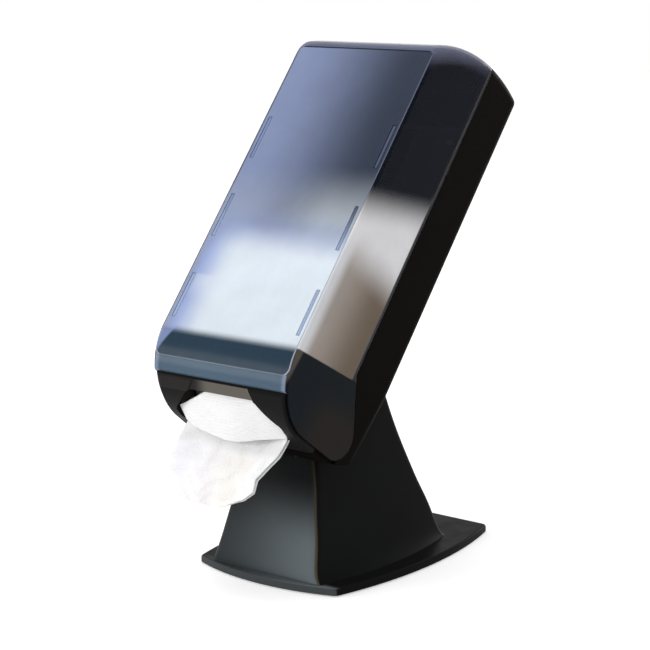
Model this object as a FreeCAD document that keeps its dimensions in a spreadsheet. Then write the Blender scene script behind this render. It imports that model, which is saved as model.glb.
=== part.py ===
import FreeCAD, Part

import math
import os
import re

import Sketcher

# Countertop wipes dispenser: a moulded stand carries a box that leans back, with a smoked cover in front.
# The row frame has its origin on the table, +X to the right and +Z up, and the front looks along -Y.
# The body is drawn upright in its own frame: x across, y into the body from the pane, z up along the pane
# from the crease, which is the line where the flat pane turns into the rounded nose. It is then leaned back.

# Driving sizes in millimetres and degrees
SIZES = {
    # body
    "body_width": 196,
    "body_depth": 172,
    "body_lean": 39.5,
    "crease_height": 284.9,
    "crease_lead": 193.6,
    "row_shift": 11.07,
    "nose_radius": 71,
    "nose_drop": 2,
    "belly_radius": 110,
    "belly_depth": 101,
    "dome_radius": 196,
    "dome_depth": 132,
    "dome_height": 240,
    "dome_round": 13,
    "front_round": 3,
    "rear_round": 8,
    "crease_rise": 20,
    "crease_run": 109,
    "cheek_lean": 4.6,
    # cover
    "cover_wall": 3.2,
    "cover_depth": 103,
    "lip_drop": 44.5,
    "cheek_inset": 5,
    "ear_depth": 126,
    "ear_drop": 41,
    "ear_radius": 24,
    "ear_top": 25,
    "seam_gap": 1.2,
    "moving_gap": 0.8,
    "notch_depth": 139.2,
    "notch_drop": 61.8,
    # pane
    "pane_width": 190,
    "pane_top": 378,
    "pane_bottom": 31,
    "pane_corner": 9,
    "pane_thickness": 1.8,
    "pane_gap": 0.3,
    "slot_width": 5,
    "slot_length": 56,
    "slot_spread": 176,
    "slot_low": 42,
    "slot_pitch": 104.5,
    "clip_gap": 0.9,
    # housing
    "housing_wall": 3,
    "pocket_depth": 11.8,
    "rim_length": 5,
    "rim_wall": 1.6,
    "rim_gap": 0.5,
    "post_radius": 5,
    # nose
    "nose_wall": 2.2,
    "nose_gap": 0.8,
    "nose_flush": 0.6,
    "mouth_front": 27.7,
    "mouth_back": 100,
    "mouth_width": 150,
    "mouth_front_width": 96,
    "mouth_back_width": 98,
    "mouth_middle": 61,
    "mouth_side": 8,
    "mouth_round": 7,
    "scoop_bottom": 59,
    "nose_screw_spread": 52,
    "nose_screw_depth": 129,
    "scoop_depth": 1.6,
    "scoop_top": 47,
    "scoop_width": 76,
    # wipes
    "wipe_width": 165,
    "wipe_fold": 108,
    "stack_front": 12,
    "stack_top": 190,
    "soft_gap": 0.3,
    "tab_length": 92,
    "tab_thickness": 1.6,
    "tab_depth": 73,
    # magazine
    "plate_wall": 2.5,
    "magazine_gap": 6,
    "magazine_width": 164,
    "magazine_bottom": 24,
    "magazine_sink": 74,
    "plate_corner": 6,
    "guide_bottom": 36,
    "guide_foot": 12,
    "post_spread": 130,
    "post_low": 0,
    "post_sink": 22,
    "guide_slot_width": 22,
    "guide_wall": 2,
    "guide_reach": 17,
    # pusher and rod
    "rod_radius": 4,
    "rod_depth": 147,
    "rod_bottom": 40,
    "rod_sink": 56,
    "running_gap": 0.05,
    "bracket_width": 28,
    "bracket_height": 12,
    "pusher_wall": 4,
    "carriage_width": 26,
    "carriage_height": 42,
    "arm_width": 16,
    "bush_wall": 2,
    "bush_length": 12,
    "weight_width": 110,
    "weight_depth": 70,
    "weight_height": 22,
    # hinge
    "pin_radius": 2.5,
    "pin_seat": 8,
    "seat_radius": 5.4,
    "boss_radius": 8,
    # latch
    "button_width": 36,
    "button_length": 18,
    "button_depth": 138,
    "button_proud": 2.5,
    "button_travel": 4,
    "hook_width": 20,
    "hook_wall": 5,
    "hook_sink": 24,
    "tooth_length": 4,
    "strike_length": 4,
    "strike_sink": 17,
    "button_flange": 4,
    "spring_length": 14,
    "spring_radius": 5,
    "wire_radius": 0.6,
    # fasteners
    "screw_radius": 2,
    "screw_head_radius": 3.8,
    "screw_head_height": 2.6,
    "screw_length": 9,
    "bolt_radius": 3,
    "bolt_head_radius": 5.2,
    "bolt_head_height": 4,
    "nut_height": 5,
    "hole_gap": 0.15,
    # stand
    "base_width": 198,
    "base_rear_width": 186,
    "base_front": 136.6,
    "base_back": 160.4,
    "base_front_bow": 19,
    "base_side_bow": 21.5,
    "base_thickness": 8,
    "base_corner": 7,
    "base_edge_round": 3,
    "foot_proud": 1.5,
    "foot_height": 3,
    "foot_radius": 11,
    "foot_spread": 158,
    "foot_front": 120,
    "foot_back": 130,
    "ballast_thickness": 4,
    "ballast_margin": 7,
    "column_width": 160,
    "column_front": 141,
    "column_back": 96,
    "column_sink": 12.9,
    "column_bow": 15,
    "column_corner": 9,
    "column_wall": 3,
    "head_wall": 4,
    "stud_radius": 6,
    "stud_height": 52,
    "stud_spread": 126,
    "stud_front": 112,
    "stud_back": 64,
    "mount_spread": 34,
    "mount_pitch": 84,
    "mount_low": 22,
    "mount_plate_wall": 3,
    "mount_plate_margin": 9,
    # one overrun for every cut
    "overrun": 30,
}

# Column sections from the foot to the head, as shares of the column's own sizes:
# height, half width, distance in front of the origin, distance behind it, bow of the sides
COLUMN_SHARES = (
    (0.0, 1.04, 0.985, 1.05, 1.15),
    (0.045, 0.95, 1.0, 0.955, 0.62),
    (0.12, 0.892, 0.963, 0.885, 0.28),
    (0.2, 0.842, 0.925, 0.8, 0.16),
    (0.35, 0.73, 0.852, 0.63, 0.1),
    (0.53, 0.571, 0.774, 0.49, 0.1),
    (0.65, 0.475, 0.73, 0.42, 0.1),
    (0.82, 0.39, 0.7, 0.29, 0.1),
    (1.0, 0.33, 0.68, 0.1, 0.1),
)

# The wipe's tab below the mouth, as shares of its length, width and bow: drop, left edge, right edge, bow
TAB_SHARES = (
    (0.0, -0.41, 0.415, 1.0),
    (0.09, -0.425, 0.42, 0.62),
    (0.18, -0.445, 0.415, 0.3),
    (0.4, -0.455, 0.36, 0.26),
    (0.6, -0.455, 0.305, 0.24),
    (0.76, -0.4, 0.315, 0.22),
    (1.0, -0.265, 0.13, 0.2),
)
TAB_BOW_SHARE = 0.16
TAB_LEAN_SHARE = 0.12

# An edge lies at a side of the body when its middle is past this share of the half width
SIDE_SHARE = 0.75
CLOSE = SIZES["front_round"] / 3

# How far back from the dome's rear corner its round starts, as a share of the round's radius
CORNER_SHARE = 0.8

doc = FreeCAD.newDocument("wipes_dispenser")
sheet = doc.addObject("Spreadsheet::Sheet", "sizes")
for row, (alias, size) in enumerate(SIZES.items(), 1):
    sheet.set(f"A{row}", alias)
    sheet.set(f"B{row}", str(size))
    sheet.setAlias(f"B{row}", alias)
doc.recompute()

sub_parts = []


def bound(text):
    """An expression over the sheet's aliases, as the document writes it."""
    return re.sub(r"[a-z_]+", lambda word: f"sizes.{word[0]}" if word[0] in SIZES else word[0], text)


def value(text):
    return float(sheet.evalExpression(bound(text)))


def bind(item, **formulas):
    for name, formula in formulas.items():
        item.setExpression(name.replace("__", "."), bound(formula))
    return item


# Sketches: an outline is a list of corners, each (u, v), or (u, v, radius) where an arc starts that turns
# anticlockwise to the next corner


def arc_through(start, end, radius):
    middle = (start + end) / 2
    half = (end - start).Length / 2
    sideways = FreeCAD.Vector(start.y - end.y, end.x - start.x, 0).normalize()
    centre = middle + sideways * math.sqrt(radius * radius - half * half)
    return Part.Arc(start, centre - sideways * radius, end)


def hold(sketch, kind, geometry, formula):
    """Adds a size to a sketch and binds it to its formula."""
    sketch.addConstraint(Sketcher.Constraint(kind, *geometry, value(formula)))
    sketch.setExpression(f"Constraints[{sketch.ConstraintCount - 1}]", bound(formula))


def draw(sketch, outline):
    corners = [FreeCAD.Vector(value(corner[0]), value(corner[1]), 0) for corner in outline]
    ends = []
    for index, corner in enumerate(outline):
        start = corners[index]
        end = corners[(index + 1) % len(corners)]
        if len(corner) == 3:
            number = sketch.addGeometry(arc_through(start, end, value(corner[2])))
            hold(sketch, "Radius", (number,), corner[2])
        else:
            number = sketch.addGeometry(Part.LineSegment(start, end))
        to_start = [(sketch.getPoint(number, end_number) - start).Length for end_number in (1, 2)]
        first = 1 if to_start[0] < to_start[1] else 2
        ends.append((number, first, 3 - first))
    for index, corner in enumerate(outline):
        number, first, last = ends[index]
        after = ends[(index + 1) % len(ends)]
        sketch.addConstraint(Sketcher.Constraint("Coincident", number, last, after[0], after[1]))
        hold(sketch, "DistanceX", (-1, 1, number, first), corner[0])
        hold(sketch, "DistanceY", (-1, 1, number, first), corner[1])


def circle(sketch, u, v, radius):
    centre = FreeCAD.Vector(value(u), value(v), 0)
    number = sketch.addGeometry(Part.Circle(centre, FreeCAD.Vector(0, 0, 1), value(radius)))
    hold(sketch, "DistanceX", (-1, 1, number, 3), u)
    hold(sketch, "DistanceY", (-1, 1, number, 3), v)
    hold(sketch, "Radius", (number,), radius)


def rounded(u_low, u_high, v_low, v_high, radius):
    """A rectangle with four round corners, anticlockwise."""
    return [
        (f"{u_low} + {radius}", v_low),
        (f"{u_high} - {radius}", v_low, radius),
        (u_high, f"{v_low} + {radius}"),
        (u_high, f"{v_high} - {radius}", radius),
        (f"{u_high} - {radius}", v_high),
        (f"{u_low} + {radius}", v_high, radius),
        (u_low, f"{v_high} - {radius}"),
        (u_low, f"{v_low} + {radius}", radius),
    ]


# Solids made by sketch and extrusion, by primitives and by booleans

X, Y, Z = FreeCAD.Vector(1, 0, 0), FreeCAD.Vector(0, 1, 0), FreeCAD.Vector(0, 0, 1)
VIEWS = {
    "side": FreeCAD.Rotation(Y, Z, X, "ZXY"),
    "front": FreeCAD.Rotation(X, Z, -Y, "ZXY"),
    "top": FreeCAD.Rotation(X, Y, Z, "ZXY"),
}


def new_sketch(name, view, outline):
    sketch = doc.addObject("Sketcher::SketchObject", f"{name}_sketch")
    sketch.Placement = FreeCAD.Placement(FreeCAD.Vector(), VIEWS[view])
    draw(sketch, outline)
    return sketch


def prism(name, view, outline, length, along=None, back=None):
    """A sketch pushed out evenly to both sides of its plane, or forwards by length and back by back."""
    solid = doc.addObject("Part::Extrusion", name)
    solid.Base = new_sketch(name, view, outline)
    solid.DirMode = "Custom"
    solid.Dir = along or VIEWS[view].multVec(Z)
    solid.Solid = True
    bind(solid, LengthFwd=length if back is not None else f"({length}) / 2")
    bind(solid, LengthRev=back if back is not None else f"({length}) / 2")
    return solid


def block(name, x, y, z):
    """A box from the low to the high formula on each axis."""
    box = doc.addObject("Part::Box", name)
    bind(box, Length=f"({x[1]}) - ({x[0]})", Width=f"({y[1]}) - ({y[0]})", Height=f"({z[1]}) - ({z[0]})")
    bind(box, Placement__Base__x=x[0], Placement__Base__y=y[0], Placement__Base__z=z[0])
    return box


def bar(name, axis, radius, low, high, centre):
    """A round bar along an axis from low to high, centred on the other two coordinates."""
    turn = {"x": FreeCAD.Rotation(Y, 90), "y": FreeCAD.Rotation(X, -90), "z": FreeCAD.Rotation()}[axis]
    solid = doc.addObject("Part::Cylinder", name)
    solid.Placement = FreeCAD.Placement(FreeCAD.Vector(), turn)
    bind(solid, Radius=radius, Height=f"({high}) - ({low})")
    place = dict(zip([letter for letter in "xyz" if letter != axis], centre))
    place[axis] = low
    bind(solid, Placement__Base__x=place["x"], Placement__Base__y=place["y"], Placement__Base__z=place["z"])
    return solid


def bars(name, axis, places, radius, low, high):
    """One bar at each place."""
    return [bar(f"{name}_{number}", axis, radius, low, high, place) for number, place in enumerate(places)]


def fuse(name, *solids):
    if len(solids) == 1:
        return solids[0]
    joined = doc.addObject("Part::MultiFuse", name)
    joined.Shapes = list(solids)
    return joined


def cut(name, base, *tools):
    remainder = doc.addObject("Part::Cut", name)
    remainder.Base = base
    remainder.Tool = fuse(f"{name}_tools", *tools)
    return remainder


def common(name, first, second):
    overlap = doc.addObject("Part::Common", name)
    overlap.Base = first
    overlap.Tool = second
    return overlap


def group(name, *solids):
    """Like pieces that share a node, as separate solids."""
    compound = doc.addObject("Part::Compound", name)
    compound.Links = list(solids)
    return compound


def screws(name, shafts, heads):
    """Screws or bolts from matching shafts and heads."""
    pairs = enumerate(zip(shafts, heads))
    return group(name, *[fuse(f"{name}_{number}", shaft, head) for number, (shaft, head) in pairs])


def rounded_edges(name, base, *rules):
    """Rounds the edges that each rule, a test on an edge and a radius formula, picks."""
    doc.recompute()
    fillet = doc.addObject("Part::Fillet", name)
    fillet.Base = base
    fillet.Edges = [
        (number, value(radius), value(radius))
        for number, edge in enumerate(base.Shape.Edges, 1)
        for test, radius in rules
        if test(edge)
    ]
    return fillet


def lean(item):
    """Leans a solid of the body's frame back and lifts it to its place over the stand."""
    if item.TypeId in ("Part::Box", "Part::Cylinder"):
        item = group(f"{item.Name}_leaned", item)
    item.Placement = FreeCAD.Placement(FreeCAD.Vector(), FreeCAD.Rotation(-X, value("body_lean")))
    return bind(
        item,
        Placement__Base__y="-crease_lead",
        Placement__Base__z="crease_height",
        Placement__Rotation__Angle="body_lean",
    )


def sub_part(label, item, leaning=True):
    if leaning:
        item = lean(item)
    bind(item, Placement__Base__y="row_shift - crease_lead" if leaning else "row_shift")
    item.Label = label
    sub_parts.append(item)


# PartDesign bodies for the plates and moulded small pieces


def new_body(name):
    return doc.addObject("PartDesign::Body", name)


def body_sketch(body, role, outline, height="0"):
    sketch = body.newObject("Sketcher::SketchObject", f"{body.Name}_sketch")
    plane = next(feature for feature in body.Origin.OriginFeatures if feature.Role == role)
    sketch.AttachmentSupport = (plane, [""])
    sketch.MapMode = "FlatFace"
    sketch.setExpression(".AttachmentOffset.Base.z", bound(height))
    draw(sketch, outline)
    return sketch


def pad(body, role, outline, length, height="0", symmetric=False):
    feature = body.newObject("PartDesign::Pad", f"{body.Name}_pad")
    feature.Profile = body_sketch(body, role, outline, height)
    if symmetric:
        feature.SideType = "Symmetric"
    return bind(feature, Length=length)


def pocket(body, role, outlines, circles=()):
    """Cuts outlines and circles through the whole body, both ways from the plane."""
    doc.recompute()
    before = body.Shape.Volume
    feature = body.newObject("PartDesign::Pocket", f"{body.Name}_pocket")
    sketch = body_sketch(body, role, outlines[0] if outlines else [])
    for outline in outlines[1:]:
        draw(sketch, outline)
    for u, v, radius in circles:
        circle(sketch, u, v, radius)
    feature.Profile = sketch
    feature.SideType = "Symmetric"
    feature.Type = "ThroughAll"
    doc.recompute()
    if not body.Shape.Volume < before:
        raise SystemExit(f"{feature.Name} cuts nothing")
    return feature


# Body envelope: the outer form, drawn at any inset, from which cover, pane, nose and housing are cut

HALF_WIDTH = "(body_width / 2)"
CREASE_SLOPE = "(crease_rise / crease_run)"
BELLY_BOTTOM = "(nose_drop + nose_radius)"
BELLY_CENTRE = "(belly_radius - nose_drop - nose_radius)"
CHEEK_SHIFT = "tan(cheek_lean)"


def dome_at(depth, inset):
    return f"(dome_height + sqrt(pow(dome_radius - ({inset}); 2) - pow(dome_depth - ({depth}); 2)))"


def belly_at(depth, inset):
    return f"({BELLY_CENTRE} - sqrt(pow(belly_radius - ({inset}); 2) - pow({depth} - belly_depth; 2)))"


def side_outline(inset):
    rear = f"(body_depth - ({inset}))"
    corner = f"max(rear_round - ({inset}); rear_round / 4)"
    cut_back = f"({corner} * {CORNER_SHARE})"
    before_corner = f"({rear} - {cut_back})"
    return [
        (inset, "-nose_drop", f"nose_radius - ({inset})"),
        ("nose_radius", f"{inset} - {BELLY_BOTTOM}"),
        ("belly_depth", f"{inset} - {BELLY_BOTTOM}", f"belly_radius - ({inset})"),
        (rear, belly_at(rear, inset)),
        (rear, f"{dome_at(rear, inset)} - {cut_back}", corner),
        (before_corner, dome_at(before_corner, inset), f"dome_radius - ({inset})"),
        (inset, dome_at(inset, inset)),
    ]


def front_outline(inset):
    """Straight sides above the crease, and sides that lean in below it."""
    side = f"({HALF_WIDTH} - ({inset}))"
    top = "(dome_height + dome_radius)"
    low = "(body_width)"
    foot = f"({side} - {low} * {CHEEK_SHIFT})"
    right = [(foot, f"-{low}"), (side, "0"), (side, top)]
    return right + [(f"-{u}", v) for u, v in reversed(right)]


def at_side(edge, wide):
    return abs(edge.CenterOfMass.x) > wide * SIDE_SHARE


def ends(edge):
    return [edge.valueAt(edge.FirstParameter), edge.valueAt(edge.LastParameter)]


def envelope(name, inset, side_inset=None):
    """The outer form at an inset, with its dome and front edges rounded."""
    side_inset = side_inset or inset
    side = prism(f"{name}_side", "side", side_outline(inset), "body_width + overrun")
    along = FreeCAD.Vector(0, 1, value(CREASE_SLOPE)).normalize()
    outline = front_outline(side_inset)
    front = prism(f"{name}_front", "front", outline, "body_depth * 2", along, "body_depth")
    form = common(f"{name}_form", side, front)
    wide = value(f"{HALF_WIDTH} - ({side_inset})")
    near = value(f"{inset}")

    def is_dome(edge):
        across = abs(ends(edge)[0].y - ends(edge)[1].y)
        return at_side(edge, wide) and edge.CenterOfMass.z > value("dome_height") and across > wide / 2

    def is_front(edge):
        in_front = all(abs(end.y - near) < CLOSE for end in ends(edge))
        return at_side(edge, wide) and in_front and edge.Length > wide

    front_radius = f"max(front_round - ({inset}); front_round / 4)"
    domed = rounded_edges(f"{name}_dome", form, (is_dome, f"dome_round - ({inset})"))
    return rounded_edges(f"{name}_rounded", domed, (is_front, front_radius))


NOSE_INSET = "(cover_wall + nose_gap)"
NOSE_INNER = "(cover_wall + nose_gap + nose_wall)"
EAR_OUTER = f"({HALF_WIDTH} - (ear_drop + ear_depth * {CREASE_SLOPE}) * {CHEEK_SHIFT})"
POCKET_FLOOR = f"({HALF_WIDTH} - pocket_depth)"
BORE_START = f"({POCKET_FLOOR} + rim_gap)"
BORE_END = f"({EAR_OUTER} - cover_wall + rim_gap)"
PIN_START = f"({POCKET_FLOOR} - housing_wall - pin_seat)"

outer = envelope("outer", "0")
housing_inner = envelope("housing_inner", "housing_wall")
cover_inner = envelope("cover_inner", "cover_wall")
WIDE = ("-body_width", "body_width")


def tangent_point(point, centre, radius):
    """Where a line from the point touches the round on its right."""
    rise, run = f"({point[1]} - ({centre[1]}))", f"({point[0]} - ({centre[0]}))"
    angle = f"(atan2({rise}; {run}) - acos({radius} / hypot({rise}; {run})))"
    return f"({centre[0]} + {radius} * cos({angle}))", f"({centre[1]} + {radius} * sin({angle}))"


def cover_outline(grow):
    """The cover from the side: lip, cheek, ear round the hinge, seam and open top, grown by a gap."""
    cheek = f"(nose_radius - cheek_inset + {grow})"
    ear = f"(ear_radius + {grow})"
    lip = f"(lip_drop + {grow})"
    shoulder = (f"cover_depth + {grow}", f"ear_top + {grow}")
    top = "(dome_height + dome_radius + overrun)"
    return [
        ("-overrun", f"-{lip}"),
        (f"nose_radius - sqrt(pow({cheek}; 2) - pow({lip} - nose_drop; 2))", f"-{lip}", cheek),
        ("nose_radius", f"-nose_drop - {cheek}"),
        ("ear_depth", f"-ear_drop - {ear}", ear),
        tangent_point(shoulder, ("ear_depth", "-ear_drop"), ear),
        shoulder,
        (shoulder[0], top),
        ("-overrun", top),
    ]


# Front cover: smoked shell with a flush recess for the pane, and an ear with a boss round each hinge pin


def pane_prism(name, grow):
    outline = rounded(
        f"(-pane_width / 2 - {grow})",
        f"(pane_width / 2 + {grow})",
        f"(-pane_bottom - {grow})",
        f"(pane_top + {grow})",
        f"(pane_corner + {grow})",
    )
    return prism(name, "front", outline, "overrun", back="overrun")


cover_shell = cut("cover_shell", outer, cover_inner)
cover_side = prism("cover_side", "side", cover_outline("0"), "body_width + overrun")
cover_form = common("cover_form", cover_shell, cover_side)
recess_floor = envelope("recess_floor", "pane_thickness")
recess = cut("recess", pane_prism("recess_outline", "pane_gap"), recess_floor)
sides = (("left", "-"), ("right", ""))


def across(sign, low, high):
    """The low and high x of a piece that is mirrored to the left by a minus sign."""
    return (f"-({high})", f"-({low})") if sign else (low, high)


def ear_bar(name, sign, radius, low, high):
    return bar(name, "x", radius, *across(sign, low, high), ("ear_depth", "-ear_drop"))


ear_bosses = [
    ear_bar(f"ear_boss_{side}", sign, "boss_radius", BORE_START, f"{EAR_OUTER} - cover_wall / 2")
    for side, sign in sides
]
ear_bores = [
    ear_bar(f"ear_bore_{side}", sign, "pin_radius + bush_wall + hole_gap", "0", BORE_END)
    for side, sign in sides
]
front_cover = cut("cover_bored", fuse("cover_bossed", cover_form, *ear_bosses), recess, *ear_bores)
sub_part("front_cover", front_cover)

for side, sign in sides:
    bush = cut(
        f"bush_{side}",
        ear_bar(f"bush_body_{side}", sign, "pin_radius + bush_wall", BORE_START, BORE_END),
        ear_bar(f"bush_hole_{side}", sign, "pin_radius + running_gap", "0", "body_width"),
    )
    sub_part(f"hinge_bush_{side}", bush)
    pin = ear_bar(f"pin_{side}", sign, "pin_radius", PIN_START, f"{BORE_END} - rim_gap")
    sub_part(f"hinge_pin_{side}", pin)

# Display pane: a flush clear plate that bends over the crease, with three slots near each side for the clips

pane_plate = cut("pane_plate", common("pane_bent", outer, pane_prism("pane_outline", "0")), recess_floor)


def slot_blocks(name, margin, y):
    """One block in each slot, smaller than the slot by the margin on every side."""
    blocks = []
    for side, sign in sides:
        for row in range(3):
            spans = [
                (f"{middle} - {size} / 2 + {margin}", f"{middle} + {size} / 2 - {margin}")
                for middle, size in (
                    (f"{sign}slot_spread / 2", "slot_width"),
                    (f"(slot_low + {row} * slot_pitch)", "slot_length"),
                )
            ]
            blocks.append(block(f"{name}_{side}_{row}", spans[0], y, spans[1]))
    return blocks


pane = cut("pane_slotted", pane_plate, *slot_blocks("slot", "0", ("-overrun", "overrun")))
sub_part("display_pane", pane)
clips = slot_blocks("clip", "clip_gap", ("pane_thickness / 6", "pane_thickness"))
sub_part("pane_clips", group("clips", *clips))

# Dispensing nose: a black tub behind the cover's lower band, open at the back, with the mouth in its floor

nose_band = common(
    "nose_band",
    envelope("band", NOSE_INSET),
    prism(
        "band_side",
        "side",
        [
            ("-overrun", "-lip_drop - nose_gap"),
            ("cover_depth", "-lip_drop - nose_gap"),
            ("cover_depth", f"cover_depth * {CREASE_SLOPE}"),
            ("-overrun", f"-overrun * {CREASE_SLOPE}"),
        ],
        "body_width + overrun",
    ),
)
lip_reach = "sqrt(pow(nose_radius - cover_wall; 2) - pow(lip_drop - nose_drop; 2))"
sweep_radius = f"(ear_depth - nose_radius + {lip_reach} - nose_gap)"
lip_sweep = bar("lip_sweep", "x", sweep_radius, *WIDE, ("ear_depth", "-ear_drop"))
chin = common("chin_swept", envelope("chin", "nose_flush", NOSE_INSET), lip_sweep)
BAND_LOW = "(-lip_drop - nose_gap)"
chin_range = block("chin_range", WIDE, ("-overrun", "cover_depth"), ("-body_width", BAND_LOW))
chin = common("chin_low", chin, chin_range)
nose_inner = envelope("nose_inner", NOSE_INNER)
tongue_low = envelope("tongue_low", "housing_wall + running_gap")
tongue_high = envelope("tongue_high", "housing_wall + nose_wall")
tongue = common(
    "nose_tongue",
    cut("tongue_skin", tongue_low, tongue_high),
    block(
        "tongue_range",
        ("-nose_screw_spread", "nose_screw_spread"),
        ("mouth_back + rim_gap", "nose_screw_depth + boss_radius"),
        ("-body_width", "-ear_drop"),
    ),
)
MOUTH = [
    ("-mouth_front_width / 2", "mouth_front"),
    ("mouth_front_width / 2", "mouth_front"),
    ("mouth_width / 2", "mouth_middle - mouth_side"),
    ("mouth_width / 2", "mouth_middle + mouth_side"),
    ("mouth_back_width / 2", "mouth_back"),
    ("-mouth_back_width / 2", "mouth_back"),
    ("-mouth_width / 2", "mouth_middle + mouth_side"),
    ("-mouth_width / 2", "mouth_middle - mouth_side"),
]
mouth = rounded_edges(
    "mouth",
    prism("mouth_prism", "top", MOUTH, "-ear_drop", back="body_width"),
    (lambda edge: abs(edge.Vertexes[0].Z - edge.Vertexes[-1].Z) > CLOSE, "mouth_round"),
)
scoop_high = envelope("scoop_high", "nose_flush")
scoop_low = envelope("scoop_low", "nose_flush + scoop_depth")
scoop = common(
    "scoop",
    cut("scoop_skin", scoop_high, scoop_low),
    prism(
        "scoop_outline",
        "front",
        [
            ("-mouth_front_width / 2", "-scoop_bottom"),
            ("mouth_front_width / 2", "-scoop_bottom"),
            ("scoop_width / 2", "-scoop_top"),
            ("-scoop_width / 2", "-scoop_top"),
        ],
        "0",
        back="mouth_front + overrun / 3",
    ),
)
nose_places = [
    ("-nose_screw_spread + boss_radius", "nose_screw_depth"),
    ("nose_screw_spread - boss_radius", "nose_screw_depth"),
]
NOSE_SCREW_SEAT = belly_at("nose_screw_depth + boss_radius / 2", "housing_wall + nose_wall")
nose_bosses = common(
    "nose_bosses",
    group("boss_pair", *bars("nose_boss", "z", nose_places, "seat_radius", "-body_width", NOSE_SCREW_SEAT)),
    tongue_low,
)
nose_shell = cut("nose_shell", fuse("nose_form", nose_band, chin), nose_inner, mouth, scoop)
nose_holes = bars("nose_hole", "z", nose_places, "screw_radius + hole_gap", "-body_width", "0")
nose_joined = fuse("nose_joined", nose_shell, tongue, nose_bosses)
sub_part("dispensing_nose", cut("nose_bored", nose_joined, *nose_holes))

# Rear housing: tray with a rim inside the cover, pockets for the ears, pin seats, and posts for the magazine

TALL = ("-body_width", "body_width * 3")
front_zone = block("front_zone", WIDE, ("-overrun", "cover_depth + seam_gap"), TALL)


def ear_pockets(name, grow, floor):
    """Room at each side for the cover's cheek and ear, open below, where the cheek swings down."""
    deep = ("-body_depth", "body_depth * 2")
    zone = block(f"{name}_zone", (f"-({floor})", floor), deep, TALL)
    above = block(f"{name}_above", WIDE, deep, ("ear_top + overrun / 3", "body_width * 3"))
    notch_low = ("-body_width", f"{grow} - notch_drop")
    notch = block(f"{name}_notch", WIDE, ("cover_depth", f"notch_depth + {grow}"), notch_low)
    side = prism(f"{name}_side", "side", cover_outline(grow), "body_width + overrun")
    return cut(name, fuse(f"{name}_room", side, notch), zone, above)


pockets = ear_pockets("pockets", "moving_gap", POCKET_FLOOR)
housing_outside = cut("housing_outside", outer, front_zone, pockets)
cavity = cut(
    "cavity",
    housing_inner,
    ear_pockets("pocket_walls", "(moving_gap + housing_wall)", f"({POCKET_FLOOR} - housing_wall)"),
)
housing_shell = cut("housing_shell", housing_outside, cavity)
rim = common(
    "rim",
    cut(
        "rim_skin",
        envelope("rim_high", "cover_wall + rim_gap"),
        envelope("rim_low", "cover_wall + rim_gap + rim_wall"),
    ),
    block(
        "rim_range",
        WIDE,
        ("cover_depth - rim_length", "cover_depth + seam_gap + rim_wall"),
        ("ear_top + overrun / 3", "body_width * 3"),
    ),
)
MAGAZINE_FRONT = "(stack_front + wipe_fold + magazine_gap)"
MAGAZINE_BACK = f"({MAGAZINE_FRONT} + plate_wall)"
BACK_WALL = "(body_depth - housing_wall)"


def places(spread, heights):
    """One place to each side of the middle at each height."""
    return [(f"{sign}{spread} / 2", height) for _, sign in sides for height in heights]


MAGAZINE_TOP = "(dome_height + dome_radius - magazine_sink)"
post_places = places("post_spread", ("post_low", f"({MAGAZINE_TOP} - post_sink)"))
mount_places = places("mount_spread", ("-mount_low", "mount_pitch - mount_low"))
pin_seats = [
    ear_bar(f"pin_seat_{side}", sign, "seat_radius", PIN_START, POCKET_FLOOR) for side, sign in sides
]
pin_holes = [ear_bar(f"pin_hole_{side}", sign, "pin_radius", "0", "body_width") for side, sign in sides]
LATCH_BACK = "(button_depth + button_length / 2)"
LATCH_FRONT = "(button_depth - button_length / 2)"
button_hole = block(
    "button_hole",
    ("-button_width / 2 - hole_gap * 2", "button_width / 2 + hole_gap * 2"),
    (f"{LATCH_FRONT} - hole_gap * 2", f"{LATCH_BACK} + hole_gap * 2"),
    ("dome_height", "body_width * 3"),
)
posts = bars("post", "y", post_places, "post_radius", MAGAZINE_BACK, BACK_WALL)
SCREW_END = f"({MAGAZINE_BACK} + screw_length)"
rear_housing = cut(
    "housing_bored",
    fuse("housing_joined", housing_shell, rim, *posts, *pin_seats),
    button_hole,
    *pin_holes,
    *bars("post_hole", "y", post_places, "screw_radius", MAGAZINE_BACK, SCREW_END),
    *bars("mount_hole", "y", mount_places, "bolt_radius + hole_gap", "rod_depth", "body_depth + overrun"),
    *bars("floor_hole", "z", nose_places, "screw_radius + hole_gap", "-body_width", "-ear_drop"),
)
sub_part("rear_housing", rear_housing)
FLOOR_BOTTOM = belly_at("nose_screw_depth", "rim_gap")
NOSE_HEAD_TOP = f"({NOSE_SCREW_SEAT} + screw_head_height)"
nose_screws = screws(
    "nose_screw",
    bars("nose_shaft", "z", nose_places, "screw_radius", FLOOR_BOTTOM, NOSE_SCREW_SEAT),
    bars("nose_head", "z", nose_places, "screw_head_radius", NOSE_SCREW_SEAT, NOSE_HEAD_TOP),
)
sub_part("nose_screws", nose_screws)

# Magazine: a plate behind the wipes with a long slot for the pusher, two corner rails and four screws

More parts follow.
